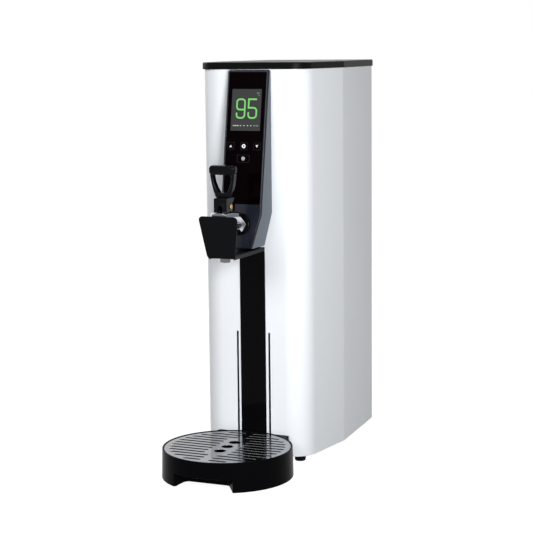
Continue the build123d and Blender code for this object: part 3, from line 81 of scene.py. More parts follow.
# Stage
AIM = (0, 0, 0.3)  # point that the lamps face
LAMPS = (  # a lamp, its setting, its place and its size
    ("Key light", "key", (-0.35, -2.15, 1.35), 0.9),
    ("Fill light", "fill", (0.87, -1.07, 0.6), 0.5),
    ("Back light", "back", (-0.35, 2.0, 2.2), 0.9),
    ("Side light", "side", (-1.9, 0.35, 1.1), 0.8),
)
FLOOR_HALF = 6.0
FLOOR_RISE = (0.3, 1.1)  # distances over which the floor's white rises from lift to full

# Meshes
WELD = 0.002 * MM  # points nearer than this are one
FLAT = radians(0.5)  # faces within this angle are joined before edges are rounded
HARD = radians(28)  # edges sharper than this are rounded
CREASE = radians(38)  # edges sharper than this are shaded as edges
RELIEF = 0.2 * MM  # depth of the materials' bump

# Leaning front, in its own plane, from the middle of the overlay's upper edge
OVERLAY_T = 1.5 * MM
GLASS_TOP = -24.9 * MM
GLASS_SINK = 0.1 * MM  # glass below the overlay's face
GLOW_H = 0.08 * MM  # lit marks above the glass
DIGIT_SHIFT = 0.7 * MM  # digits right of the middle
DEGREE = (18.8 * MM, GLASS_TOP - 7.4 * MM)
STATUS_Y = GLASS_TOP - 54.6 * MM
STATUS_H = 1.3 * MM
INK_H = 0.06 * MM  # printed marks above a key
KEY_FRAME = 5.6 * MM  # half of the frame round a key
POWER_FRAME = 10.0 * MM  # half the width of the power key's
FRAME_R = 1.2 * MM
FRAME_LINE = 0.6 * MM
FRAME_H = 0.04 * MM

# Screws and fittings
M3 = (3.0 * MM, 2.2 * MM)  # shank and height of the head
M4 = (4.0 * MM, 2.8 * MM)
FOOT_PROFILE = (  # radius and height in millimetres
    (4.4, 0.0), (7.4, 0.0), (8.0, 0.6), (8.3, 2.4), (8.0, 2.6), (8.0, 3.1), (8.4, 3.3), (8.6, 4.8),
    (8.3, 5.0), (8.3, 5.5), (8.7, 5.7), (9.0, 8.0), (2.2, 8.0), (2.2, 4.5), (4.4, 4.5),
)
CAP_BORE, CAP_TOP, CAP_RIBS = 5.55 * MM, 3.0 * MM, 28
GLAND_FLATS, GLAND_CLAMP_R, GLAND_FLUTES = 24.0 * MM, 9.5 * MM, 12
GLAND_THREAD_R, GLAND_BORE = 8.0 * MM, 4.5 * MM


def tone(red, green, blue):
    """Linear colour of a screen value from 0 to 255."""
    parts = [value / 255 for value in (red, green, blue)]
    return tuple(v / 12.92 if v <= 0.04045 else ((v + 0.055) / 1.055) ** 2.4 for v in parts)


class DispenserFinish(bpy.types.PropertyGroup):
    """Colours and edges of the dispenser."""

    paint: FloatVectorProperty(
        name="Paint",
        description="Powder coat of the body",
        subtype="COLOR",
        default=tone(237, 241, 245),
        min=0,
        max=1,
    )
    black: FloatVectorProperty(
        name="Black",
        description="Moulded plastic of the tray",
        subtype="COLOR",
        default=tone(6, 6, 8),
        min=0,
        max=1,
    )
    grey: FloatVectorProperty(
        name="Grey",
        description="Side walls of the wedge of controls",
        subtype="COLOR",
        default=tone(92, 99, 108),
        min=0,
        max=1,
    )
    digits: FloatVectorProperty(
        name="Digits",
        description="Light of the display's digits",
        subtype="COLOR",
        default=tone(122, 214, 110),
        min=0,
        max=1,
    )
    edge: FloatProperty(
        name="Edge",
        description="Rounding of the hard edges of moulded pieces",
        subtype="DISTANCE",
        unit="LENGTH",
        default=0.6 * MM,
        min=0,
        max=2 * MM,
    )
    sheet_edge: FloatProperty(
        name="Sheet edge",
        description="Rounding of the edges of sheet metal",
        subtype="DISTANCE",
        unit="LENGTH",
        default=0.3 * MM,
        min=0,
        max=1 * MM,
    )


class DispenserDisplay(bpy.types.PropertyGroup):
    """Digits and marks on the leaning front."""

    value: IntProperty(
        name="Temperature",
        description="Number on the display, of two digits",
        default=95,
        min=10,
        max=99,
    )
    digit_width: FloatProperty(
        name="Digit width",
        description="Width of a digit, outside its strokes",
        subtype="DISTANCE",
        unit="LENGTH",
        default=15.2 * MM,
    )
    digit_height: FloatProperty(
        name="Digit height",
        description="Height of a digit, outside its strokes",
        subtype="DISTANCE",
        unit="LENGTH",
        default=30.0 * MM,
    )
    digit_gap: FloatProperty(
        name="Digit gap",
        description="Space between the digits",
        subtype="DISTANCE",
        unit="LENGTH",
        default=3.6 * MM,
    )
    digit_drop: FloatProperty(
        name="Digit drop",
        description="Top of the digits below the top of the glass",
        subtype="DISTANCE",
        unit="LENGTH",
        default=13.8 * MM,
    )
    stroke: FloatProperty(
        name="Stroke",
        description="Width of a digit's stroke",
        subtype="DISTANCE",
        unit="LENGTH",
        default=2.4 * MM,
    )


class DispenserStage(bpy.types.PropertyGroup):
    """Floor, light and camera."""

    floor: FloatVectorProperty(
        name="Floor",
        description="Colour of the floor and the backdrop",
        subtype="COLOR",
        default=(1.0, 1.0, 1.0),
        min=0,
        max=1,
    )
    shade: FloatProperty(
        name="Shade",
        description="How much of the lamps' light, and so of the object's shadow, the floor shows",
        subtype="FACTOR",
        default=0.15,
        min=0,
        max=1,
    )
    lift: FloatProperty(
        name="Lift",
        description="Even white of the floor near the object, under what the lamps add",
        subtype="FACTOR",
        default=0.95,
        min=0,
        max=1,
    )
    key: FloatProperty(
        name="Key light",
        description="Power of the large light at the front",
        unit="POWER",
        default=20.5,
        min=0,
    )
    fill: FloatProperty(
        name="Fill light",
        description="Power of the nearer light at the front right",
        unit="POWER",
        default=18.2,
        min=0,
    )
    back: FloatProperty(
        name="Back light",
        description="Power of the light behind the object",
        unit="POWER",
        default=36.0,
        min=0,
    )
    side: FloatProperty(
        name="Side light",
        description="Power of the light at the object's left side",
        unit="POWER",
        default=16.0,
        min=0,
    )
    ambient: FloatProperty(
        name="Ambient",
        description="Level of the even light from all round",
        subtype="FACTOR",
        default=0.03,
        min=0,
        max=2,
    )


# Shared helpers


def settings():
    """The scene's own copy of the three groups of settings."""
    scene = bpy.context.scene
    return scene.dispenser_finish, scene.dispenser_display, scene.dispenser_stage


def add(tree, kind, inputs=None, **options):
    """Place a shader node, set its options, and set or link its inputs."""
    made = tree.nodes.new("ShaderNode" + kind)
    for name, value in options.items():
        setattr(made, name, value)
    for name, value in (inputs or {}).items():
        if isinstance(value, bpy.types.NodeSocket):
            tree.links.new(value, made.inputs[name])
        else:
            made.inputs[name].default_value = value
    return made


def add_group(name, inputs, outputs):
    """Start a node group with named inputs and outputs, as pairs of a name and a socket type."""
    group = bpy.data.node_groups.new(name, "ShaderNodeTree")
    for label, kind in inputs:
        group.interface.new_socket(name=label, in_out="INPUT", socket_type="NodeSocket" + kind)
    for label, kind in outputs:
        group.interface.new_socket(name=label, in_out="OUTPUT", socket_type="NodeSocket" + kind)
    return group, group.nodes.new("NodeGroupInput").outputs, group.nodes.new("NodeGroupOutput").inputs


def math(tree, operation, first, second):
    """Output of a two-input arithmetic node."""
    return add(tree, "Math", {0: first, 1: second}, operation=operation).outputs[0]


def mixed(tree, factor, first, second, blend="MIX"):
    """Output of a node that mixes two colours."""
    inputs = {0: factor, 6: first, 7: second}
    return add(tree, "Mix", inputs, data_type="RGBA", blend_type=blend).outputs[2]


# Shared effects of the materials


def grain_group():
    """Fine grain over a slow drift, for paint and moulded plastic."""
    name = "Surface grain"
    if name in bpy.data.node_groups:
        return bpy.data.node_groups[name]
    inputs = [("Colour", "Color"), ("Drift", "Float"), ("Roughness", "Float"), ("Spread", "Float")]
    inputs.append(("Grain", "Float"))
    outputs = [("Colour", "Color"), ("Roughness", "Float"), ("Height", "Float")]
    tree, given, out = add_group(name, inputs, outputs)
    place = add(tree, "TexCoord").outputs["Object"]
    slow = add(tree, "TexNoise", {"Vector": place, "Scale": 11.0, "Detail": 4.0}).outputs[0]
    fine = add(tree, "TexNoise", {"Vector": place, "Scale": given["Grain"], "Detail": 2.0}).outputs[0]
    darker = mixed(tree, 1.0, given["Colour"], (0.72, 0.72, 0.74, 1.0), "MULTIPLY")
    shade = math(tree, "MULTIPLY", slow, given["Drift"])
    tree.links.new(mixed(tree, shade, given["Colour"], darker), out["Colour"])
    both = math(tree, "ADD", math(tree, "MULTIPLY", slow, 0.6), math(tree, "MULTIPLY", fine, 0.4))
    swing = math(tree, "MULTIPLY", math(tree, "SUBTRACT", both, 0.5), given["Spread"])
    tree.links.new(math(tree, "ADD", given["Roughness"], swing), out["Roughness"])
    tree.links.new(fine, out["Height"])
    return tree


def lines_group():
    """Long fine lines of brushed or drawn metal, along the axis whose stretch is small."""
    name = "Brushed lines"
    if name in bpy.data.node_groups:
        return bpy.data.node_groups[name]
    inputs = [("Colour", "Color"), ("Roughness", "Float"), ("Spread", "Float"), ("Stretch", "Vector")]
    outputs = [("Colour", "Color"), ("Roughness", "Float"), ("Height", "Float")]
    tree, given, out = add_group(name, inputs, outputs)
    place = add(tree, "TexCoord").outputs["Object"]
    drawn = add(tree, "VectorMath", {0: place, 1: given["Stretch"]}, operation="MULTIPLY").outputs[0]
    lines = add(tree, "TexNoise", {"Vector": drawn, "Scale": 1.0, "Detail": 3.0}).outputs[0]
    cloud = add(tree, "TexNoise", {"Vector": place, "Scale": 30.0, "Detail": 2.0}).outputs[0]
    darker = mixed(tree, 1.0, given["Colour"], (0.82, 0.82, 0.84, 1.0), "MULTIPLY")
    tree.links.new(mixed(tree, lines, given["Colour"], darker), out["Colour"])
    both = math(tree, "ADD", math(tree, "MULTIPLY", lines, 0.7), math(tree, "MULTIPLY", cloud, 0.3))
    swing = math(tree, "MULTIPLY", math(tree, "SUBTRACT", both, 0.5), given["Spread"])
    tree.links.new(math(tree, "ADD", given["Roughness"], swing), out["Roughness"])
    tree.links.new(lines, out["Height"])
    return tree


def painted_reflection_group():
    """Painted reflection in polished plate: the base colour falls to a dark Horizon colour where a surface stands
    upright.
    """
    name = "Plate bands"
    if name in bpy.data.node_groups:
        return bpy.data.node_groups[name]
    tree, given, out = add_group(name, [("Colour", "Color"), ("Horizon", "Color")], [("Colour", "Color")])
    # Painted reflection: the more level the normal, the darker the base colour.
    facing = add(tree, "SeparateXYZ", {0: add(tree, "TexCoord").outputs["Normal"]}).outputs["Z"]
    level = math(tree, "ABSOLUTE", facing, 0.0)
    reach = {"Value": level, "From Min": 0.1, "From Max": 0.7}
    share = add(tree, "MapRange", reach, interpolation_type="SMOOTHSTEP").outputs[0]
    tree.links.new(mixed(tree, share, given["Horizon"], given["Colour"]), out["Colour"])
    return tree


def start_material(name, shader):
    """New material with its shader's own constants set."""
    made = bpy.data.materials.new(name)
    made.use_nodes = True
    bsdf = made.node_tree.nodes["Principled BSDF"]
    for socket, value in shader.items():
        bsdf.inputs[socket].default_value = value
    return made, made.node_tree, bsdf


def join_effect(tree, bsdf, effect, bump):
    """Link an effect's colour, roughness and height to a shader."""
    tree.links.new(effect.outputs["Colour"], bsdf.inputs["Base Color"])
    tree.links.new(effect.outputs["Roughness"], bsdf.inputs["Roughness"])
    relief = {"Height": effect.outputs["Height"], "Strength": bump, "Distance": RELIEF}
    tree.links.new(add(tree, "Bump", relief).outputs[0], bsdf.inputs["Normal"])


def coated(name, colour, roughness, grain, bump, drift=0.25, spread=0.12, **shader):
    """Paint, plastic or rubber with the shared grain."""
    made, tree, bsdf = start_material(name, {k.replace("_", " "): v for k, v in shader.items()})
    given = {"Colour": (*colour[:3], 1.0), "Drift": drift, "Roughness": roughness}
    given.update({"Spread": spread, "Grain": grain})
    join_effect(tree, bsdf, add(tree, "Group", given, node_tree=grain_group()), bump)
    return made


def drawn(name, colour, roughness, stretch, bump, spread=0.14, **shader):
    """Metal with the shared brushed lines."""
    shader = {k.replace("_", " "): v for k, v in shader.items()}
    made, tree, bsdf = start_material(name, {"Metallic": 1.0, **shader})
    given = {"Colour": (*colour[:3], 1.0), "Roughness": roughness, "Spread": spread, "Stretch": stretch}
    join_effect(tree, bsdf, add(tree, "Group", given, node_tree=lines_group()), bump)
    return made


# Finishes, one for each slot of the record


def body_white():
    """White powder coat with a faint orange peel."""
    paint = settings()[0].paint
    return coated("White powder coat", paint, 0.36, 420.0, 0.05, drift=0.06, Specular_IOR_Level=0.3)


def lid_black():
    """Black plastic with a spark-eroded texture."""
    return coated("Textured black lid", tone(9, 10, 10), 0.36, 1500.0, 0.15, Specular_IOR_Level=0.04)


def housing_grey():
    """Grey satin plastic of the wedge's sides."""
    grey = settings()[0].grey
    return coated("Grey satin housing", grey, 0.34, 900.0, 0.08, drift=0.2, Specular_IOR_Level=0.25)


def panel_black():
    """Deep black gloss of the overlay and the keys."""
    return coated("Gloss black panel", tone(5, 1, 3), 0.1, 60.0, 0.02, spread=0.08, Specular_IOR_Level=0.012)


def strip_black():
    """Gloss black of the strip, which shows a faint image of the tray."""
    return coated("Gloss black strip", tone(6, 6, 8), 0.06, 40.0, 0.02, spread=0.05, Specular_IOR_Level=0.03)


def bezel_black():
    """Blue-black satin of the wedge's front moulding."""
    return coated("Satin black bezel", tone(27, 31, 40), 0.16, 1100.0, 0.04, Specular_IOR_Level=0.2)


def display_grey():
    """Lit grey ground of the display."""
    shader = {"Emission_Color": (*tone(60, 60, 61), 1.0), "Emission_Strength": 1.0}
    return coated("Display ground", tone(22, 22, 23), 0.15, 2600.0, 0.01, Specular_IOR_Level=0.03, **shader)


def tap_chrome():
    """Polished chrome plate with faint turning lines, and a painted reflection that darkens its upright faces."""
    # The second colour is a painted reflection: upright faces take it in place of the bright plate.
    plate, painted_horizon = tone(228, 230, 234), tone(112, 115, 121)
    made = drawn("Polished chrome", plate, 0.06, (40.0, 40.0, 2200.0), 0.02, spread=0.06)
    tree = made.node_tree
    given = {"Colour": (*plate, 1.0), "Horizon": (*painted_horizon, 1.0)}
    bands = add(tree, "Group", given, node_tree=painted_reflection_group())
    lines = next(node for node in tree.nodes if node.type == "GROUP" and node.node_tree == lines_group())
    tree.links.new(bands.outputs["Colour"], lines.inputs["Colour"])
    return made


def tap_black():
    """Black phenolic of the handle and the washer."""
    return coated("Black handle plastic", tone(4, 5, 7), 0.08, 1300.0, 0.02, Specular_IOR_Level=0.08)


def brass():
    """Bare brass."""
    return drawn("Bare brass", tone(196, 166, 116), 0.26, (1600.0, 60.0, 60.0), 0.05)


def guard_black():
    """Black powder coat of the splash guard."""
    return coated("Black powder coat", tone(6, 7, 9), 0.22, 800.0, 0.05, Specular_IOR_Level=0.06)


def tray_black():
    """Black moulded plastic of the tray."""
    return coated("Black tray plastic", settings()[0].black, 0.26, 1200.0, 0.05, Specular_IOR_Level=0.015)


def grille_steel():
    """Polished steel of the tray's cover, with lines along its slots."""
    return drawn("Polished grille steel", tone(148, 150, 154), 0.15, (30.0, 1500.0, 60.0), 0.04, spread=0.1)


def carrier_black():
    """Black dipped steel of the tray's carrier."""
    return coated("Dipped black steel", tone(14, 15, 17), 0.35, 700.0, 0.12, Specular_IOR_Level=0.12)


def rubber():
    """Black rubber of the feet."""
    return coated("Black rubber", tone(8, 8, 11), 0.62, 1600.0, 0.3, Specular_IOR_Level=0.05)


def silicone():
    """Milky silicone of the hoses, gasket and cup."""
    return coated("Milky silicone", tone(214, 211, 202), 0.45, 600.0, 0.1, drift=0.3)


def screw_steel():
    """Zinc-plated steel of the fasteners."""
    return drawn("Zinc plate", tone(196, 198, 202), 0.28, (500.0, 500.0, 500.0), 0.06)


def tank_steel():
    """Drawn stainless steel of the boiler."""
    return drawn("Drawn stainless", tone(200, 202, 204), 0.3, (60.0, 60.0, 1400.0), 0.06)


def plain_steel():
    """Galvanised sheet of the base and the rails."""
    return drawn("Galvanised sheet", tone(182, 185, 188), 0.4, (120.0, 160.0, 120.0), 0.05, spread=0.3)


def jacket_foam():
    """Grey felt of the boiler's jacket."""
    return coated("Grey felt", tone(120, 122, 125), 0.92, 900.0, 0.6, drift=0.5, Specular_IOR_Level=0.1)


def board_green():
    """Solder mask of the circuit boards."""
    return coated("Solder mask", tone(38, 104, 62), 0.36, 260.0, 0.1, drift=0.5)


def valve_white():
    """White nylon of the valve and the terminals."""
    return coated("White nylon", tone(226, 225, 220), 0.42, 900.0, 0.08, drift=0.15)


def coil_black():
    """Black moulding of the coil, the gland and the cap."""
    return coated("Black nylon", tone(20, 21, 24), 0.4, 1000.0, 0.12, Specular_IOR_Level=0.15)


def led_green():
    """Glowing stroke of the display."""
    glow = {"Emission_Color": (*settings()[0].digits, 1.0), "Emission_Strength": 1.0}
    return coated("Green light", tone(20, 40, 20), 0.4, 900.0, 0.0, Specular_IOR_Level=0.1, **glow)


def led_pale():
    """Pale lit mark."""
    glow = {"Emission_Color": (*tone(196, 204, 198), 1.0), "Emission_Strength": 1.0}
    return coated("Pale light", tone(40, 42, 40), 0.4, 900.0, 0.0, Specular_IOR_Level=0.05, **glow)


def led_dim():
    """Dim green mark."""
    glow = {"Emission_Color": (*tone(112, 158, 120), 1.0), "Emission_Strength": 1.0}
    return coated("Dim green light", tone(20, 30, 20), 0.4, 900.0, 0.0, Specular_IOR_Level=0.05, **glow)


def print_white():
    """White ink of the key marks."""
    return coated("White ink", tone(238, 240, 242), 0.5, 1500.0, 0.03, drift=0.1)


def print_grey():
    """Grey ink of the power key's mark."""
    return coated("Grey ink", tone(150, 152, 154), 0.5, 1500.0, 0.03, drift=0.1)


def key_line():
    """Faint line round a key."""
    return coated("Key line", tone(30, 27, 29), 0.4, 1500.0, 0.03, drift=0.1, Specular_IOR_Level=0.05)


SLOT_FINISHES = (
    body_white, lid_black, housing_grey, panel_black, bezel_black, display_grey, tap_chrome, tap_black,
    brass, guard_black, tray_black, grille_steel, carrier_black, rubber, silicone, screw_steel,
    tank_steel, plain_steel, jacket_foam, board_green, valve_white, coil_black,
)


def finish(build):
    """The material that a finish function makes, made once."""
    key = "finish_" + build.__name__
    for material in bpy.data.materials:
        if material.get("finish") == key:
            return material
    material = build()
    material["finish"] = key
    return material


def slot_finish(slot):
    """Material of a slot of the record."""
    return finish({build.__name__: build for build in SLOT_FINISHES}[slot])


def node_slot(node):
    """Slot of a CAD node in the record."""
    return next(s["material_slot"] for s in frame["record"]["subparts"] if s["node"] == node)


def node_body(node):
    """Body that a CAD node rides on."""
    bodies = frame["record"]["behaviour"]["bodies"]
    return next(body for body, nodes in bodies.items() if node in nodes)


# Shared ways of making a mesh


def make_piece(name, bm, material, body, slot, *stands_for):
    """Turn a finished mesh into a piece that may ride on a body and stand for solids."""
    mesh = bpy.data.meshes.new(name)
    bmesh.ops.recalc_face_normals(bm, faces=bm.faces)
    if bm.calc_volume(signed=True) < 0:
        bmesh.ops.reverse_faces(bm, faces=bm.faces)
    bm.to_mesh(mesh)
    bm.free()
    mesh.shade_smooth()
    mesh.set_sharp_from_angle(angle=CREASE)
    mesh.materials.append(material)
    made = bpy.data.objects.new(name, mesh)
    bpy.context.scene.collection.objects.link(made)
    even = made.modifiers.new("Even normals", "WEIGHTED_NORMAL")
    even.keep_sharp = True
    if body:
        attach(made, body)
    if stands_for:
        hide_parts(*stands_for)
    return made


def node_mesh(node):
    """Editable copy of a CAD node's mesh, with its points joined up."""
    bm = bmesh.new()
    bm.from_mesh(frame["nodes"][node].data)
    bmesh.ops.remove_doubles(bm, verts=bm.verts, dist=WELD)
    return bm


def softened(node, width=0, build=None):
    """Piece that stands for a CAD node, the same shape with its hard edges rounded by a width."""
    bm = node_mesh(node)
    if width:
        bmesh.ops.dissolve_limit(bm, angle_limit=FLAT, verts=bm.verts, edges=bm.edges)
        hard = [e for e in bm.edges if len(e.link_faces) == 2 and e.calc_face_angle() > HARD]
        shape = {"segments": 2, "profile": 0.5, "affect": "EDGES", "clamp_overlap": False}
        bmesh.ops.bevel(bm, geom=hard, offset=width, **shape)
        low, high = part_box(node)
        for vert in bm.verts:
            vert.co = [min(max(c, least), most) for c, least, most in zip(vert.co, low, high)]
    slot = node_slot(node)
    material = finish(build) if build else slot_finish(slot)
    return make_piece("soft_" + node, bm, material, node_body(node), slot, node)


def squeezed(node):
    """Smooth copy of an upright spring, on no body."""
    bm = bmesh.new()
    bm.from_mesh(frame["nodes"][node].data)
    slot = node_slot(node)
    made = make_piece("soft_" + node, bm, slot_finish(slot), None, slot, node)
    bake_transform(made)


def rounded(corners, closed=False, steps=6):
    """Points of a path through corners of (x, y, radius), with an arc at each round corner."""
    points = []
    for i, (x, y, radius) in enumerate(corners):
        at = Vector((x, y))
        if radius == 0 or (not closed and i in (0, len(corners) - 1)):
            points.append(at)
            continue
        before = (Vector(corners[i - 1][:2]) - at).normalized()
        after = (Vector(corners[(i + 1) % len(corners)][:2]) - at).normalized()
        half = before.angle(after) / 2
        centre = at + (before + after).normalized() * radius / sin(half)
        first = at + before * radius / tan(half) - centre
        last = at + after * radius / tan(half) - centre
        start = atan2(first.y, first.x)
        turn = (atan2(last.y, last.x) - start + pi) % (2 * pi) - pi
        angles = [start + turn * step / steps for step in range(steps + 1)]
        points += [centre + radius * Vector((cos(a), sin(a))) for a in angles]
    return points


def raise_strip(bm, left, right, high, place, closed=False):
    """Thin solid strip between two rows of points, raised from a plane."""

    def lay(row, height):
        return [bm.verts.new(place @ Vector((p.x, p.y, height))) for p in row]

    low_left, low_right, top_left, top_right = (lay(row, z) for z in (0, high) for row in (left, right))
    count = len(left)
    for i in range(count if closed else count - 1):
        j = (i + 1) % count
        bm.faces.new((top_left[i], top_right[i], top_right[j], top_left[j]))
        bm.faces.new((low_left[j], low_right[j], low_right[i], low_left[i]))
        bm.faces.new((low_left[i], top_left[i], top_left[j], low_left[j]))
        bm.faces.new((low_right[j], top_right[j], top_right[i], low_right[i]))
    if not closed:
        for i in (0, count - 1):
            bm.faces.new((low_left[i], low_right[i], top_right[i], top_left[i]))


def stroke(bm, path, width, high, place):
    """Raised stroke of even width along a path."""
    left, right = [], []
    for i, point in enumerate(path):
        before = (point - path[i - 1]).normalized() if i else (path[1] - point).normalized()
        after = (path[i + 1] - point).normalized() if i + 1 < len(path) else before
        side = (before + after).normalized()
        reach = width / 2 / max(0.5, side.dot(before))
        left.append(point + Vector((-side.y, side.x)) * reach)
        right.append(point - Vector((-side.y, side.x)) * reach)
    raise_strip(bm, left, right, high, place)


def ring(bm, centre, outer, inner, high, place, steps=36):
    """Raised flat ring."""
    turns = [2 * pi * i / steps for i in range(steps)]
    rows = [[Vector(centre) + r * Vector((cos(a), sin(a))) for a in turns] for r in (outer, inner)]
    raise_strip(bm, *rows, high, place, closed=True)


def patch(bm, points, high, place):
    """Raised flat patch with a given outline."""
    low = [bm.verts.new(place @ Vector((p.x, p.y, 0))) for p in points]
    top = [bm.verts.new(place @ Vector((p.x, p.y, high))) for p in points]
    bm.faces.new(top)
    bm.faces.new(list(reversed(low)))
    for i in range(len(points)):
        bm.faces.new((low[i - 1], low[i], top[i], top[i - 1]))


def dot(bm, centre, radius, high, place, steps=28):
    """Raised round dot."""
    turns = [2 * pi * i / steps for i in range(steps)]
    patch(bm, [Vector(centre) + radius * Vector((cos(a), sin(a))) for a in turns], high, place)


def turned(bm, profile, place, steps=48, closed=False):
    """Turned solid, from points of (radius, height); a radius may be a function of the angle."""
    turns = [2 * pi * i / steps for i in range(steps)]
    rows = []
    for radius, height in profile:
        if radius == 0:
            rows.append([bm.verts.new(place @ Vector((0, 0, height)))])
            continue
        reach = [radius(a) if callable(radius) else radius for a in turns]
        points = [Vector((r * cos(a), r * sin(a), height)) for r, a in zip(reach, turns)]
        rows.append([bm.verts.new(place @ p) for p in points])
    for low, top in zip(rows, rows[1:] + rows[:1] if closed else rows[1:]):
        for i in range(steps):
            j = (i + 1) % steps
            corners = (low[i % len(low)], low[j % len(low)], top[j % len(top)], top[i % len(top)])
            bm.faces.new(list(dict.fromkeys(corners)))


def hexagon(flats):
    """Radius of a hexagonal outline at an angle."""
    return lambda a: flats / 2 / cos((a + pi / 6) % (pi / 3) - pi / 6)


def cross(arm, half):
    """Radius of a cross-shaped outline at an angle, from the length and half width of its arms."""

    def radius(a):
        along, over = max(abs(cos(a)), 1e-6), max(abs(sin(a)), 1e-6)
        return max(min(arm / along, half / over), min(half / along, arm / over))

    return radius


def knurl(radius, depth, ribs):
    """Radius of a ribbed outline at an angle."""
    return lambda a: radius - depth * (1 + cos(ribs * a)) / 2


def thread(radius, depth, turn):
    """Radius of a screw thread's outline at an angle, at a height given in turns."""
    return lambda a: radius - depth * abs(2 * ((turn - a / (2 * pi)) % 1) - 1)


def solids(node):
    """Boxes of the separate solids of a CAD node."""
    bm = node_mesh(node)
    left, boxes = set(bm.verts), []
    while left:
        open_ends, found = [left.pop()], []
        while open_ends:
            vert = open_ends.pop()
            found.append(vert.co.copy())
            near = {edge.other_vert(vert) for edge in vert.link_edges} & left
            left -= near
            open_ends += near
        low = Vector([min(p[k] for p in found) for k in range(3)])
        boxes.append((low, Vector([max(p[k] for p in found) for k in range(3)])))
    bm.free()
    return boxes


def pan_screws(node, shank, high, axis, way):
    """Cross-recessed pan heads in place of a node's screws, along an axis (1 is Y, 2 is Z)."""
    bm = bmesh.new()
    turn = Matrix.Rotation(-way * pi / 2, 4, "X") if axis == 1 else Matrix.Rotation(pi, 4, "X")
    for low, top in solids(node):
        head, long = top.x - low.x, top[axis] - low[axis]
        seat = (low + top) / 2
        seat[axis] = (top[axis] if way > 0 else low[axis]) - way * high
        slot = cross(0.3 * head, 0.075 * head)
        profile = [(0, high - long), (shank / 2, high - long), (shank / 2, 0), (head / 2, 0)]
        profile += [(head / 2, 0.55 * high), (0.46 * head, 0.82 * high), (0.38 * head, high)]
        profile += [(slot, high), (slot, 0.4 * high), (0, 0.4 * high)]
        turned(bm, profile, Matrix.Translation(seat) @ turn)
    make_piece("pan_" + node, bm, slot_finish(node_slot(node)), node_body(node), node_slot(node), node)


def leaning_front():
    """Matrix of the leaning front: origin at the overlay's upper edge, Y up the slope, Z out of it."""
    _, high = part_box("display_overlay")
    press = next(joint["axis"] for joint in frame["joints"] if joint["name"] == "key_up_press")
    lean = atan2(-press[2], press[1])
    top = Vector((0, high.y - OVERLAY_T * cos(lean), high.z))
    return Matrix.Translation(top) @ Matrix.Rotation(pi / 2 - lean, 4, "X")


def digit_paths(digit, wide, high):
    """Strokes of a digit on its centre lines, from its lower left corner."""
    bend, middle = wide * 0.36, high / 2
    upper, lower = high * 0.544, high * 0.446
    start = (0, middle, 0)
    loop = [start, (0, high, bend), (wide, high, bend), (wide, 0, bend), (0, 0, bend), start]
    two = [(0, high * 0.72, 0), (0, high, bend), (wide, high, bend), (wide, middle, bend), (0, middle, bend)]
    three = [(0, high, 0), (wide, high, bend), (wide, 0, bend), (0, 0, 0)]
    five = [(wide, high, 0), (0, high, 0), (0, upper, 0), (wide, upper, bend), (wide, 0, bend), (0, 0, bend)]
    six = [(wide, high * 0.72, 0), (wide, high, bend), (0, high, bend), (0, 0, bend), (wide, 0, bend)]
    nine = [(0, high * 0.28, 0), (0, 0, bend), (wide, 0, bend), (wide, high, bend), (0, high, bend)]
    shapes = (
        [loop],
        [[(wide, high, 0), (wide, 0, 0)]],
        [two + [(0, 0, 0), (wide, 0, 0)]],
        [three, [(bend, middle, 0), (wide, middle, 0)]],
        [[(0, high, 0), (0, lower, 0), (wide, lower, 0)], [(wide, high, 0), (wide, 0, 0)]],
        [five + [(0, high * 0.31, 0)]],
        [six + [(wide, upper, bend), (0, upper, 0)]],
        [[(0, high, 0), (wide, high, bend), (wide, 0, 0)]],
        [loop, [start, (wide, middle, 0)]],
        [nine + [(0, lower, bend), (wide, lower, 0)]],
    )
    return [rounded(corners) for corners in shapes[digit]]


def degree_mark(bm, centre, place):
    """Small degree ring with a round letter beside it."""
    outer, inner, line = 0.85 * MM, 0.4 * MM, 0.6 * MM
    wide, tall, shift = 1.5 * MM, 2.0 * MM, 0.9 * MM
    ring(bm, centre + Vector((-2.1 * MM, 1.7 * MM)), outer, inner, GLOW_H, place, steps=20)
    angles = [radians(50 + 260 * i / 16) for i in range(17)]
    arc = [centre + Vector((wide * cos(a) + shift, tall * sin(a))) for a in angles]
    stroke(bm, arc, line, GLOW_H, place)


STATUS_WHITE = ((-20.0, 2.7), (-16.8, 2.7), (-13.6, 2.7), (-8.8, 2.0), (-3.2, 2.0), (2.6, 2.0), (7.7, 2.0))
STATUS_GREEN = ((12.7, 3.6), (17.2, 3.6))
STATUS_MARKS = (  # a piece, its finish, and the left ends and widths of its bars in millimetres
    ("status_white", led_pale, STATUS_WHITE),
    ("status_green", led_dim, STATUS_GREEN),
)


def triangle(way):
    """Small triangle that points up the slope, or down it."""
    half, tall = 1.9 * MM, 3.4 * MM
    return [Vector((-half, -way * tall / 2)), Vector((half, -way * tall / 2)), Vector((0, way * tall / 2))]


def key_top(face, key):
    """Matrix of the middle of a key's cap."""
    inverse = face.inverted()
    points = [inverse @ v.co for v in frame["nodes"][key].data.vertices]
    out = max(p.z for p in points)
    cap = [p for p in points if p.z > out - 0.01 * MM]
    middle = sum(cap, Vector()) / len(cap)
    return face @ Matrix.Translation((middle.x, middle.y, out))


def key_outline(middle, half_wide, half_high):
    """Rounded outline round a key."""
    ways = ((1, -1), (1, 1), (-1, 1), (-1, -1))
    corners = [(middle.x + x * half_wide, middle.y + y * half_high, FRAME_R) for x, y in ways]
    return rounded(corners, closed=True)


def rear_place(node):
    """Matrix at the inner end of a node on the rear panel, with Z out of the back; its length and radius."""
    low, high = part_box(node)
    middle = (low + high) / 2
    turn = Matrix.Rotation(-pi / 2, 4, "X")
    return Matrix.Translation((middle.x, low.y, middle.z)) @ turn, high.y - low.y, (high.x - low.x) / 2


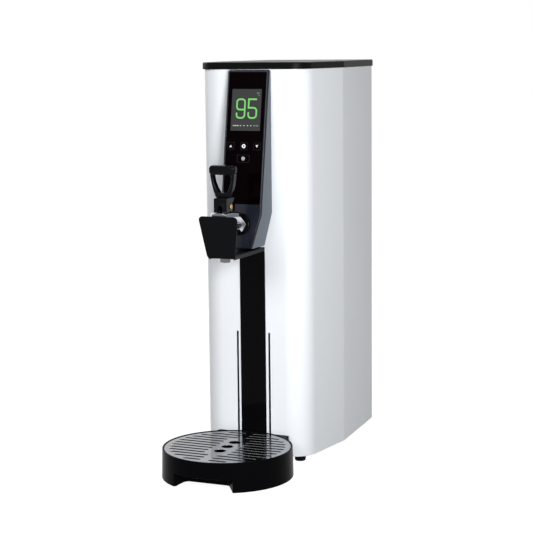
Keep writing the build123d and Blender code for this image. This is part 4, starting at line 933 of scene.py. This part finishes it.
def add_cap():
    """Knurled drain cap."""
    place, long, radius = rear_place("drain_cap")
    grip = knurl(radius, 0.5 * MM, CAP_RIBS)
    profile = [(0, long), (0.8 * radius, long), (0.92 * radius, long - 0.5 * MM), (grip, long - 1.2 * MM)]
    profile += [(grip, 2.4 * MM), (0.95 * radius, 2.0 * MM), (radius, 1.5 * MM), (radius, 0)]
    profile += [(CAP_BORE, 0), (CAP_BORE, long - CAP_TOP), (0, long - CAP_TOP)]
    bm = bmesh.new()
    turned(bm, profile, place, steps=6 * CAP_RIBS)
    make_piece("knurled_cap", bm, finish(coil_black), "body", "coil_black", "drain_cap")


def add_gland():
    """Mains gland with two nuts and a fluted clamp."""
    place, long, _ = rear_place("cable_gland")
    nut, flute = hexagon(GLAND_FLATS), knurl(GLAND_CLAMP_R, 0.7 * MM, GLAND_FLUTES)
    rows = [(GLAND_BORE, 0), (GLAND_THREAD_R, 0), (GLAND_THREAD_R, 5), (nut, 5), (nut, 10)]
    rows += [(GLAND_THREAD_R, 10), (GLAND_THREAD_R, 11.2), (nut, 11.2), (nut, 16.6), (11.6 * MM, 17.2)]
    rows += [(GLAND_CLAMP_R, 17.2), (flute, 18.4), (flute, 22.4), (8.6 * MM, 24.2), (7.0 * MM, 25.2)]
    rows.append((GLAND_BORE, 25.2))
    bm = bmesh.new()
    turned(bm, [(r, min(z * MM, long)) for r, z in rows], place, steps=6 * GLAND_FLUTES, closed=True)
    make_piece("fluted_gland", bm, finish(coil_black), "body", "coil_black", "cable_gland")


def add_spigot():
    """Screw thread round the water inlet, which runs out at both ends."""
    pitch, start, long = 1.8 * MM, 4.6 * MM, 14.4 * MM
    inner, root, crest, depth = 12.9 * MM, 13.2 * MM, 0.45 * MM, 0.7 * MM
    steps, ends = 64, 4
    rows = [(inner, start)]
    for i in range(steps + 1):
        fade = min(1.0, i / ends, (steps - i) / ends)
        along = long * i / steps
        rows.append((thread(root + crest * fade, depth * fade, along / pitch), start + along))
    rows.append((inner, start + long))
    low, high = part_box("inlet_valve")
    middle = (low + high) / 2
    base = Vector((middle.x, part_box("rear_panel")[1].y, middle.z))
    bm = bmesh.new()
    turned(bm, rows, Matrix.Translation(base) @ Matrix.Rotation(-pi / 2, 4, "X"), closed=True)
    make_piece("inlet_thread", bm, finish(valve_white), "body", "valve_white")


def seen_directly(tree):
    """One for rays from the camera, and for those that metal or glass sends on."""
    rays = add(tree, "LightPath").outputs
    first = math(tree, "MAXIMUM", rays["Is Camera Ray"], rays["Is Glossy Ray"])
    return math(tree, "MAXIMUM", first, rays["Is Transmission Ray"])


def add_floor(level):
    """Large pale floor that keeps a soft shadow."""
    bm = bmesh.new()
    bmesh.ops.create_grid(bm, x_segments=8, y_segments=8, size=FLOOR_HALF)
    mesh = bpy.data.meshes.new("floor")
    bm.to_mesh(mesh)
    bm.free()
    floor = bpy.data.objects.new("floor", mesh)
    bpy.context.scene.collection.objects.link(floor)
    made = bpy.data.materials.new("Pale floor")
    made.use_nodes = True
    tree = made.node_tree
    bsdf = tree.nodes["Principled BSDF"]
    bsdf.inputs["Base Color"].default_value = (*(level.shade * part for part in level.floor), 1.0)
    bsdf.inputs["Roughness"].default_value = 0.9
    bsdf.inputs["Specular IOR Level"].default_value = 0.0
    spot = add(tree, "TexCoord").outputs["Object"]
    away = add(tree, "VectorMath", {0: spot}, operation="LENGTH").outputs["Value"]
    near, far = FLOOR_RISE
    reach = {"Value": away, "From Min": near, "From Max": far, "To Min": level.lift, "To Max": 1.0}
    even = add(tree, "MapRange", reach, interpolation_type="SMOOTHSTEP").outputs[0]
    glow = math(tree, "MULTIPLY", seen_directly(tree), even)
    white = add(tree, "Emission", {"Color": (*level.floor, 1.0), "Strength": glow})
    both = add(tree, "AddShader", {0: bsdf.outputs[0], 1: white.outputs[0]})
    tree.links.new(both.outputs[0], tree.nodes["Material Output"].inputs["Surface"])
    mesh.materials.append(made)


def add_world(level):
    """White surroundings to the eye, and an even light of a lower level on the object."""
    world = bpy.data.worlds.new("Studio")
    bpy.context.scene.world = world
    world.use_nodes = True
    tree = world.node_tree
    strength = math(tree, "MULTIPLY", seen_directly(tree), 1.0 - level.ambient)
    backdrop = tree.nodes["Background"]
    backdrop.inputs["Color"].default_value = (*level.floor, 1.0)
    tree.links.new(math(tree, "ADD", strength, level.ambient), backdrop.inputs["Strength"])


def add_light(name, place, size, power):
    """Square soft light aimed at the middle of the object."""
    lamp = bpy.data.lights.new(name, "AREA")
    lamp.size = size
    lamp.energy = power
    made = bpy.data.objects.new(name, lamp)
    made.location = place
    aim = Vector(AIM) - Vector(place)
    made.rotation_euler = aim.to_track_quat("-Z", "Y").to_euler()
    bpy.context.scene.collection.objects.link(made)


def add_camera():
    """Camera at the photograph's place and angle."""
    lens = bpy.data.cameras.new("Camera")
    lens.sensor_width = SENSOR
    lens.lens = PHOTO_FOCUS / PHOTO_SIDE * SENSOR
    eye = bpy.data.objects.new("Camera", lens)
    flat = cos(EYE_HEIGHT)
    back = Vector((sin(EYE_AZIMUTH) * flat, -cos(EYE_AZIMUTH) * flat, sin(EYE_HEIGHT)))
    level = Vector((cos(EYE_AZIMUTH), sin(EYE_AZIMUTH), 0))
    steep = back.cross(level)
    right = cos(EYE_ROLL) * level + sin(EYE_ROLL) * steep
    up = cos(EYE_ROLL) * steep - sin(EYE_ROLL) * level
    eye.matrix_world = Matrix.Translation(EYE) @ Matrix((right, up, back)).transposed().to_4x4()
    bpy.context.scene.collection.objects.link(eye)
    bpy.context.scene.camera = eye


class DispenserOperator:
    """What the dispenser's operators share."""

    bl_options = {"REGISTER", "UNDO"}


class DISPENSER_OT_finishes(DispenserOperator, bpy.types.Operator):
    """Give each carried-over solid the finish of its slot"""

    bl_idname = "dispenser.finishes"
    bl_label = "Finishes"

    def execute(self, context):
        for name, solid in frame["nodes"].items():
            solid.data.materials.clear()
            solid.data.materials.append(slot_finish(node_slot(name)))
        return {"FINISHED"}


class DISPENSER_OT_body(DispenserOperator, bpy.types.Operator):
    """Body shell, rear panel and lid"""

    bl_idname = "dispenser.body"
    bl_label = "Body and lid"

    def execute(self, context):
        look = settings()[0]
        softened("body_shell", look.sheet_edge)
        softened("rear_panel")
        softened("top_lid", look.edge)
        return {"FINISHED"}


class DISPENSER_OT_wedge(DispenserOperator, bpy.types.Operator):
    """Housing, bezel and overlay of the wedge of controls"""

    bl_idname = "dispenser.wedge"
    bl_label = "Wedge"

    def execute(self, context):
        look = settings()[0]
        softened("control_housing", look.edge)
        softened("panel_bezel", look.sheet_edge)
        softened("display_overlay", look.sheet_edge / 2)
        return {"FINISHED"}


class DISPENSER_OT_display(DispenserOperator, bpy.types.Operator):
    """Digits and status marks of the display"""

    bl_idname = "dispenser.display"
    bl_label = "Display"

    def execute(self, context):
        sizes = settings()[1]
        glass = leaning_front() @ Matrix.Translation((0, 0, -GLASS_SINK))
        wide, tall = sizes.digit_width - sizes.stroke, sizes.digit_height - sizes.stroke
        bottom = GLASS_TOP - sizes.digit_drop - sizes.digit_height + sizes.stroke / 2
        left = -sizes.digit_width - sizes.digit_gap / 2 + sizes.stroke / 2 + DIGIT_SHIFT
        bm = bmesh.new()
        for i, digit in enumerate(divmod(sizes.value, 10)):
            start = Vector((left + i * (sizes.digit_width + sizes.digit_gap), bottom))
            for path in digit_paths(digit, wide, tall):
                stroke(bm, [start + p for p in path], sizes.stroke, GLOW_H, glass)
        make_piece("display_digits", bm, finish(led_green), "body", "display_grey")
        bm = bmesh.new()
        degree_mark(bm, Vector(DEGREE), glass)
        make_piece("display_degree", bm, finish(led_dim), "body", "display_grey")
        for name, build, bars in STATUS_MARKS:
            bm = bmesh.new()
            for start, long in bars:
                near, far = start * MM, (start + long) * MM
                low, high = STATUS_Y, STATUS_Y + STATUS_H
                corners = ((near, low), (far, low), (far, high), (near, high))
                patch(bm, [Vector(corner) for corner in corners], GLOW_H, glass)
            make_piece(name, bm, finish(build), "body", "display_grey")
        return {"FINISHED"}


class DISPENSER_OT_keys(DispenserOperator, bpy.types.Operator):
    """Marks on the four keys, and the frames round them"""

    bl_idname = "dispenser.keys"
    bl_label = "Keys"

    def execute(self, context):
        face = leaning_front()
        frames = bmesh.new()
        for key, draw, ink in (
            ("key_up", lambda bm, at: patch(bm, triangle(1), INK_H, at), print_white),
            ("key_down", lambda bm, at: patch(bm, triangle(-1), INK_H, at), print_white),
            ("key_set", lambda bm, at: ring(bm, (0, 0), 3.0 * MM, 1.3 * MM, INK_H, at), print_white),
            ("key_power", lambda bm, at: dot(bm, (0, 0), 2.9 * MM, INK_H, at), print_grey),
        ):
            bm = bmesh.new()
            top = key_top(face, key)
            draw(bm, top)
            make_piece(key + "_mark", bm, finish(ink), key, "panel_black")
            middle = face.inverted() @ top.translation
            half = POWER_FRAME if key == "key_power" else KEY_FRAME
            rows = [key_outline(middle, half - inset, KEY_FRAME - inset) for inset in (0, FRAME_LINE)]
            raise_strip(frames, *rows, FRAME_H, face, closed=True)
        make_piece("key_frames", frames, finish(key_line), "body", "panel_black")
        return {"FINISHED"}


class DISPENSER_OT_tap(DispenserOperator, bpy.types.Operator):
    """Chrome tap with its bonnet, washer, handle, pin, stem and spring"""

    bl_idname = "dispenser.tap"
    bl_label = "Tap"

    def execute(self, context):
        look = settings()[0]
        softened("tap_bonnet", look.sheet_edge)
        softened("tap_washer", look.edge)
        softened("handle_pin", look.sheet_edge)
        for node in ("tap_body", "tap_handle", "tap_stem"):
            softened(node)
        squeezed("stem_spring")
        return {"FINISHED"}


class DISPENSER_OT_guard(DispenserOperator, bpy.types.Operator):
    """Splash guard with its shelf, and the strip below it"""

    bl_idname = "dispenser.guard"
    bl_label = "Guard and strip"

    def execute(self, context):
        look = settings()[0]
        softened("hot_guard", look.edge)
        softened("front_strip", look.sheet_edge, build=strip_black)
        return {"FINISHED"}


class DISPENSER_OT_tray(DispenserOperator, bpy.types.Operator):
    """Drip tray, its grille and its carrier"""

    bl_idname = "dispenser.tray"
    bl_label = "Drip tray"

    def execute(self, context):
        look = settings()[0]
        softened("tray_bowl", look.edge)
        softened("tray_grille", look.sheet_edge)
        softened("tray_carrier", look.sheet_edge)
        return {"FINISHED"}


class DISPENSER_OT_fittings(DispenserOperator, bpy.types.Operator):
    """Screws, feet, and the gland, cap and spigot on the rear panel"""

    bl_idname = "dispenser.fittings"
    bl_label = "Screws and fittings"

    def execute(self, context):
        for node, way in (("rear_screws", 1), ("lid_screws", 1), ("guard_screws", -1)):
            pan_screws(node, *M3, 1, way)
        pan_screws("foot_screws", *M4, 2, -1)
        bm = bmesh.new()
        for low, high in solids("feet"):
            middle = (low + high) / 2
            profile = [(r * MM, z * MM) for r, z in FOOT_PROFILE]
            turned(bm, profile, Matrix.Translation((middle.x, middle.y, low.z)), closed=True)
        make_piece("ribbed_feet", bm, finish(rubber), "body", "rubber", "feet")
        add_cap()
        add_gland()
        add_spigot()
        return {"FINISHED"}


class DISPENSER_OT_stage(DispenserOperator, bpy.types.Operator):
    """Floor, soft light and camera"""

    bl_idname = "dispenser.stage"
    bl_label = "Stage"

    def execute(self, context):
        level = settings()[2]
        context.scene.view_settings.view_transform = "Standard"
        add_floor(level)
        add_world(level)
        for name, setting, place, size in LAMPS:
            add_light(name, place, size, getattr(level, setting))
        add_camera()
        return {"FINISHED"}


class DISPENSER_PT_sidebar(bpy.types.Panel):
    """Panel that lists the dispenser's operators and settings"""

    bl_idname = "DISPENSER_PT_sidebar"
    bl_label = "Hot water dispenser"
    bl_space_type = "VIEW_3D"
    bl_region_type = "UI"
    bl_category = "Dispenser"

    def draw(self, context):
        for group in settings():
            box = self.layout.box()
            for name in group.bl_rna.properties.keys():
                if name not in ("rna_type", "name"):
                    box.prop(group, name)
        for operator in OPERATORS:
            self.layout.operator(operator.bl_idname)


OPERATORS = (
    DISPENSER_OT_finishes,
    DISPENSER_OT_body,
    DISPENSER_OT_wedge,
    DISPENSER_OT_display,
    DISPENSER_OT_keys,
    DISPENSER_OT_tap,
    DISPENSER_OT_guard,
    DISPENSER_OT_tray,
    DISPENSER_OT_fittings,
    DISPENSER_OT_stage,
)
SETTINGS = {
    "dispenser_finish": DispenserFinish,
    "dispenser_display": DispenserDisplay,
    "dispenser_stage": DispenserStage,
}


def register():
    """Register the classes and hang the settings on the scene."""
    for cls in (*SETTINGS.values(), *OPERATORS, DISPENSER_PT_sidebar):
        bpy.utils.register_class(cls)
    for name, group in SETTINGS.items():
        setattr(bpy.types.Scene, name, PointerProperty(type=group))


def unregister():
    """Undo what register did."""
    for name in SETTINGS:
        delattr(bpy.types.Scene, name)
    for cls in reversed((*SETTINGS.values(), *OPERATORS, DISPENSER_PT_sidebar)):
        bpy.utils.unregister_class(cls)


def main():
    """Build the whole scene."""
    register()
    for operator in OPERATORS:
        family, name = operator.bl_idname.split(".")
        getattr(getattr(bpy.ops, family), name)()


if __name__ == "__main__":
    main()
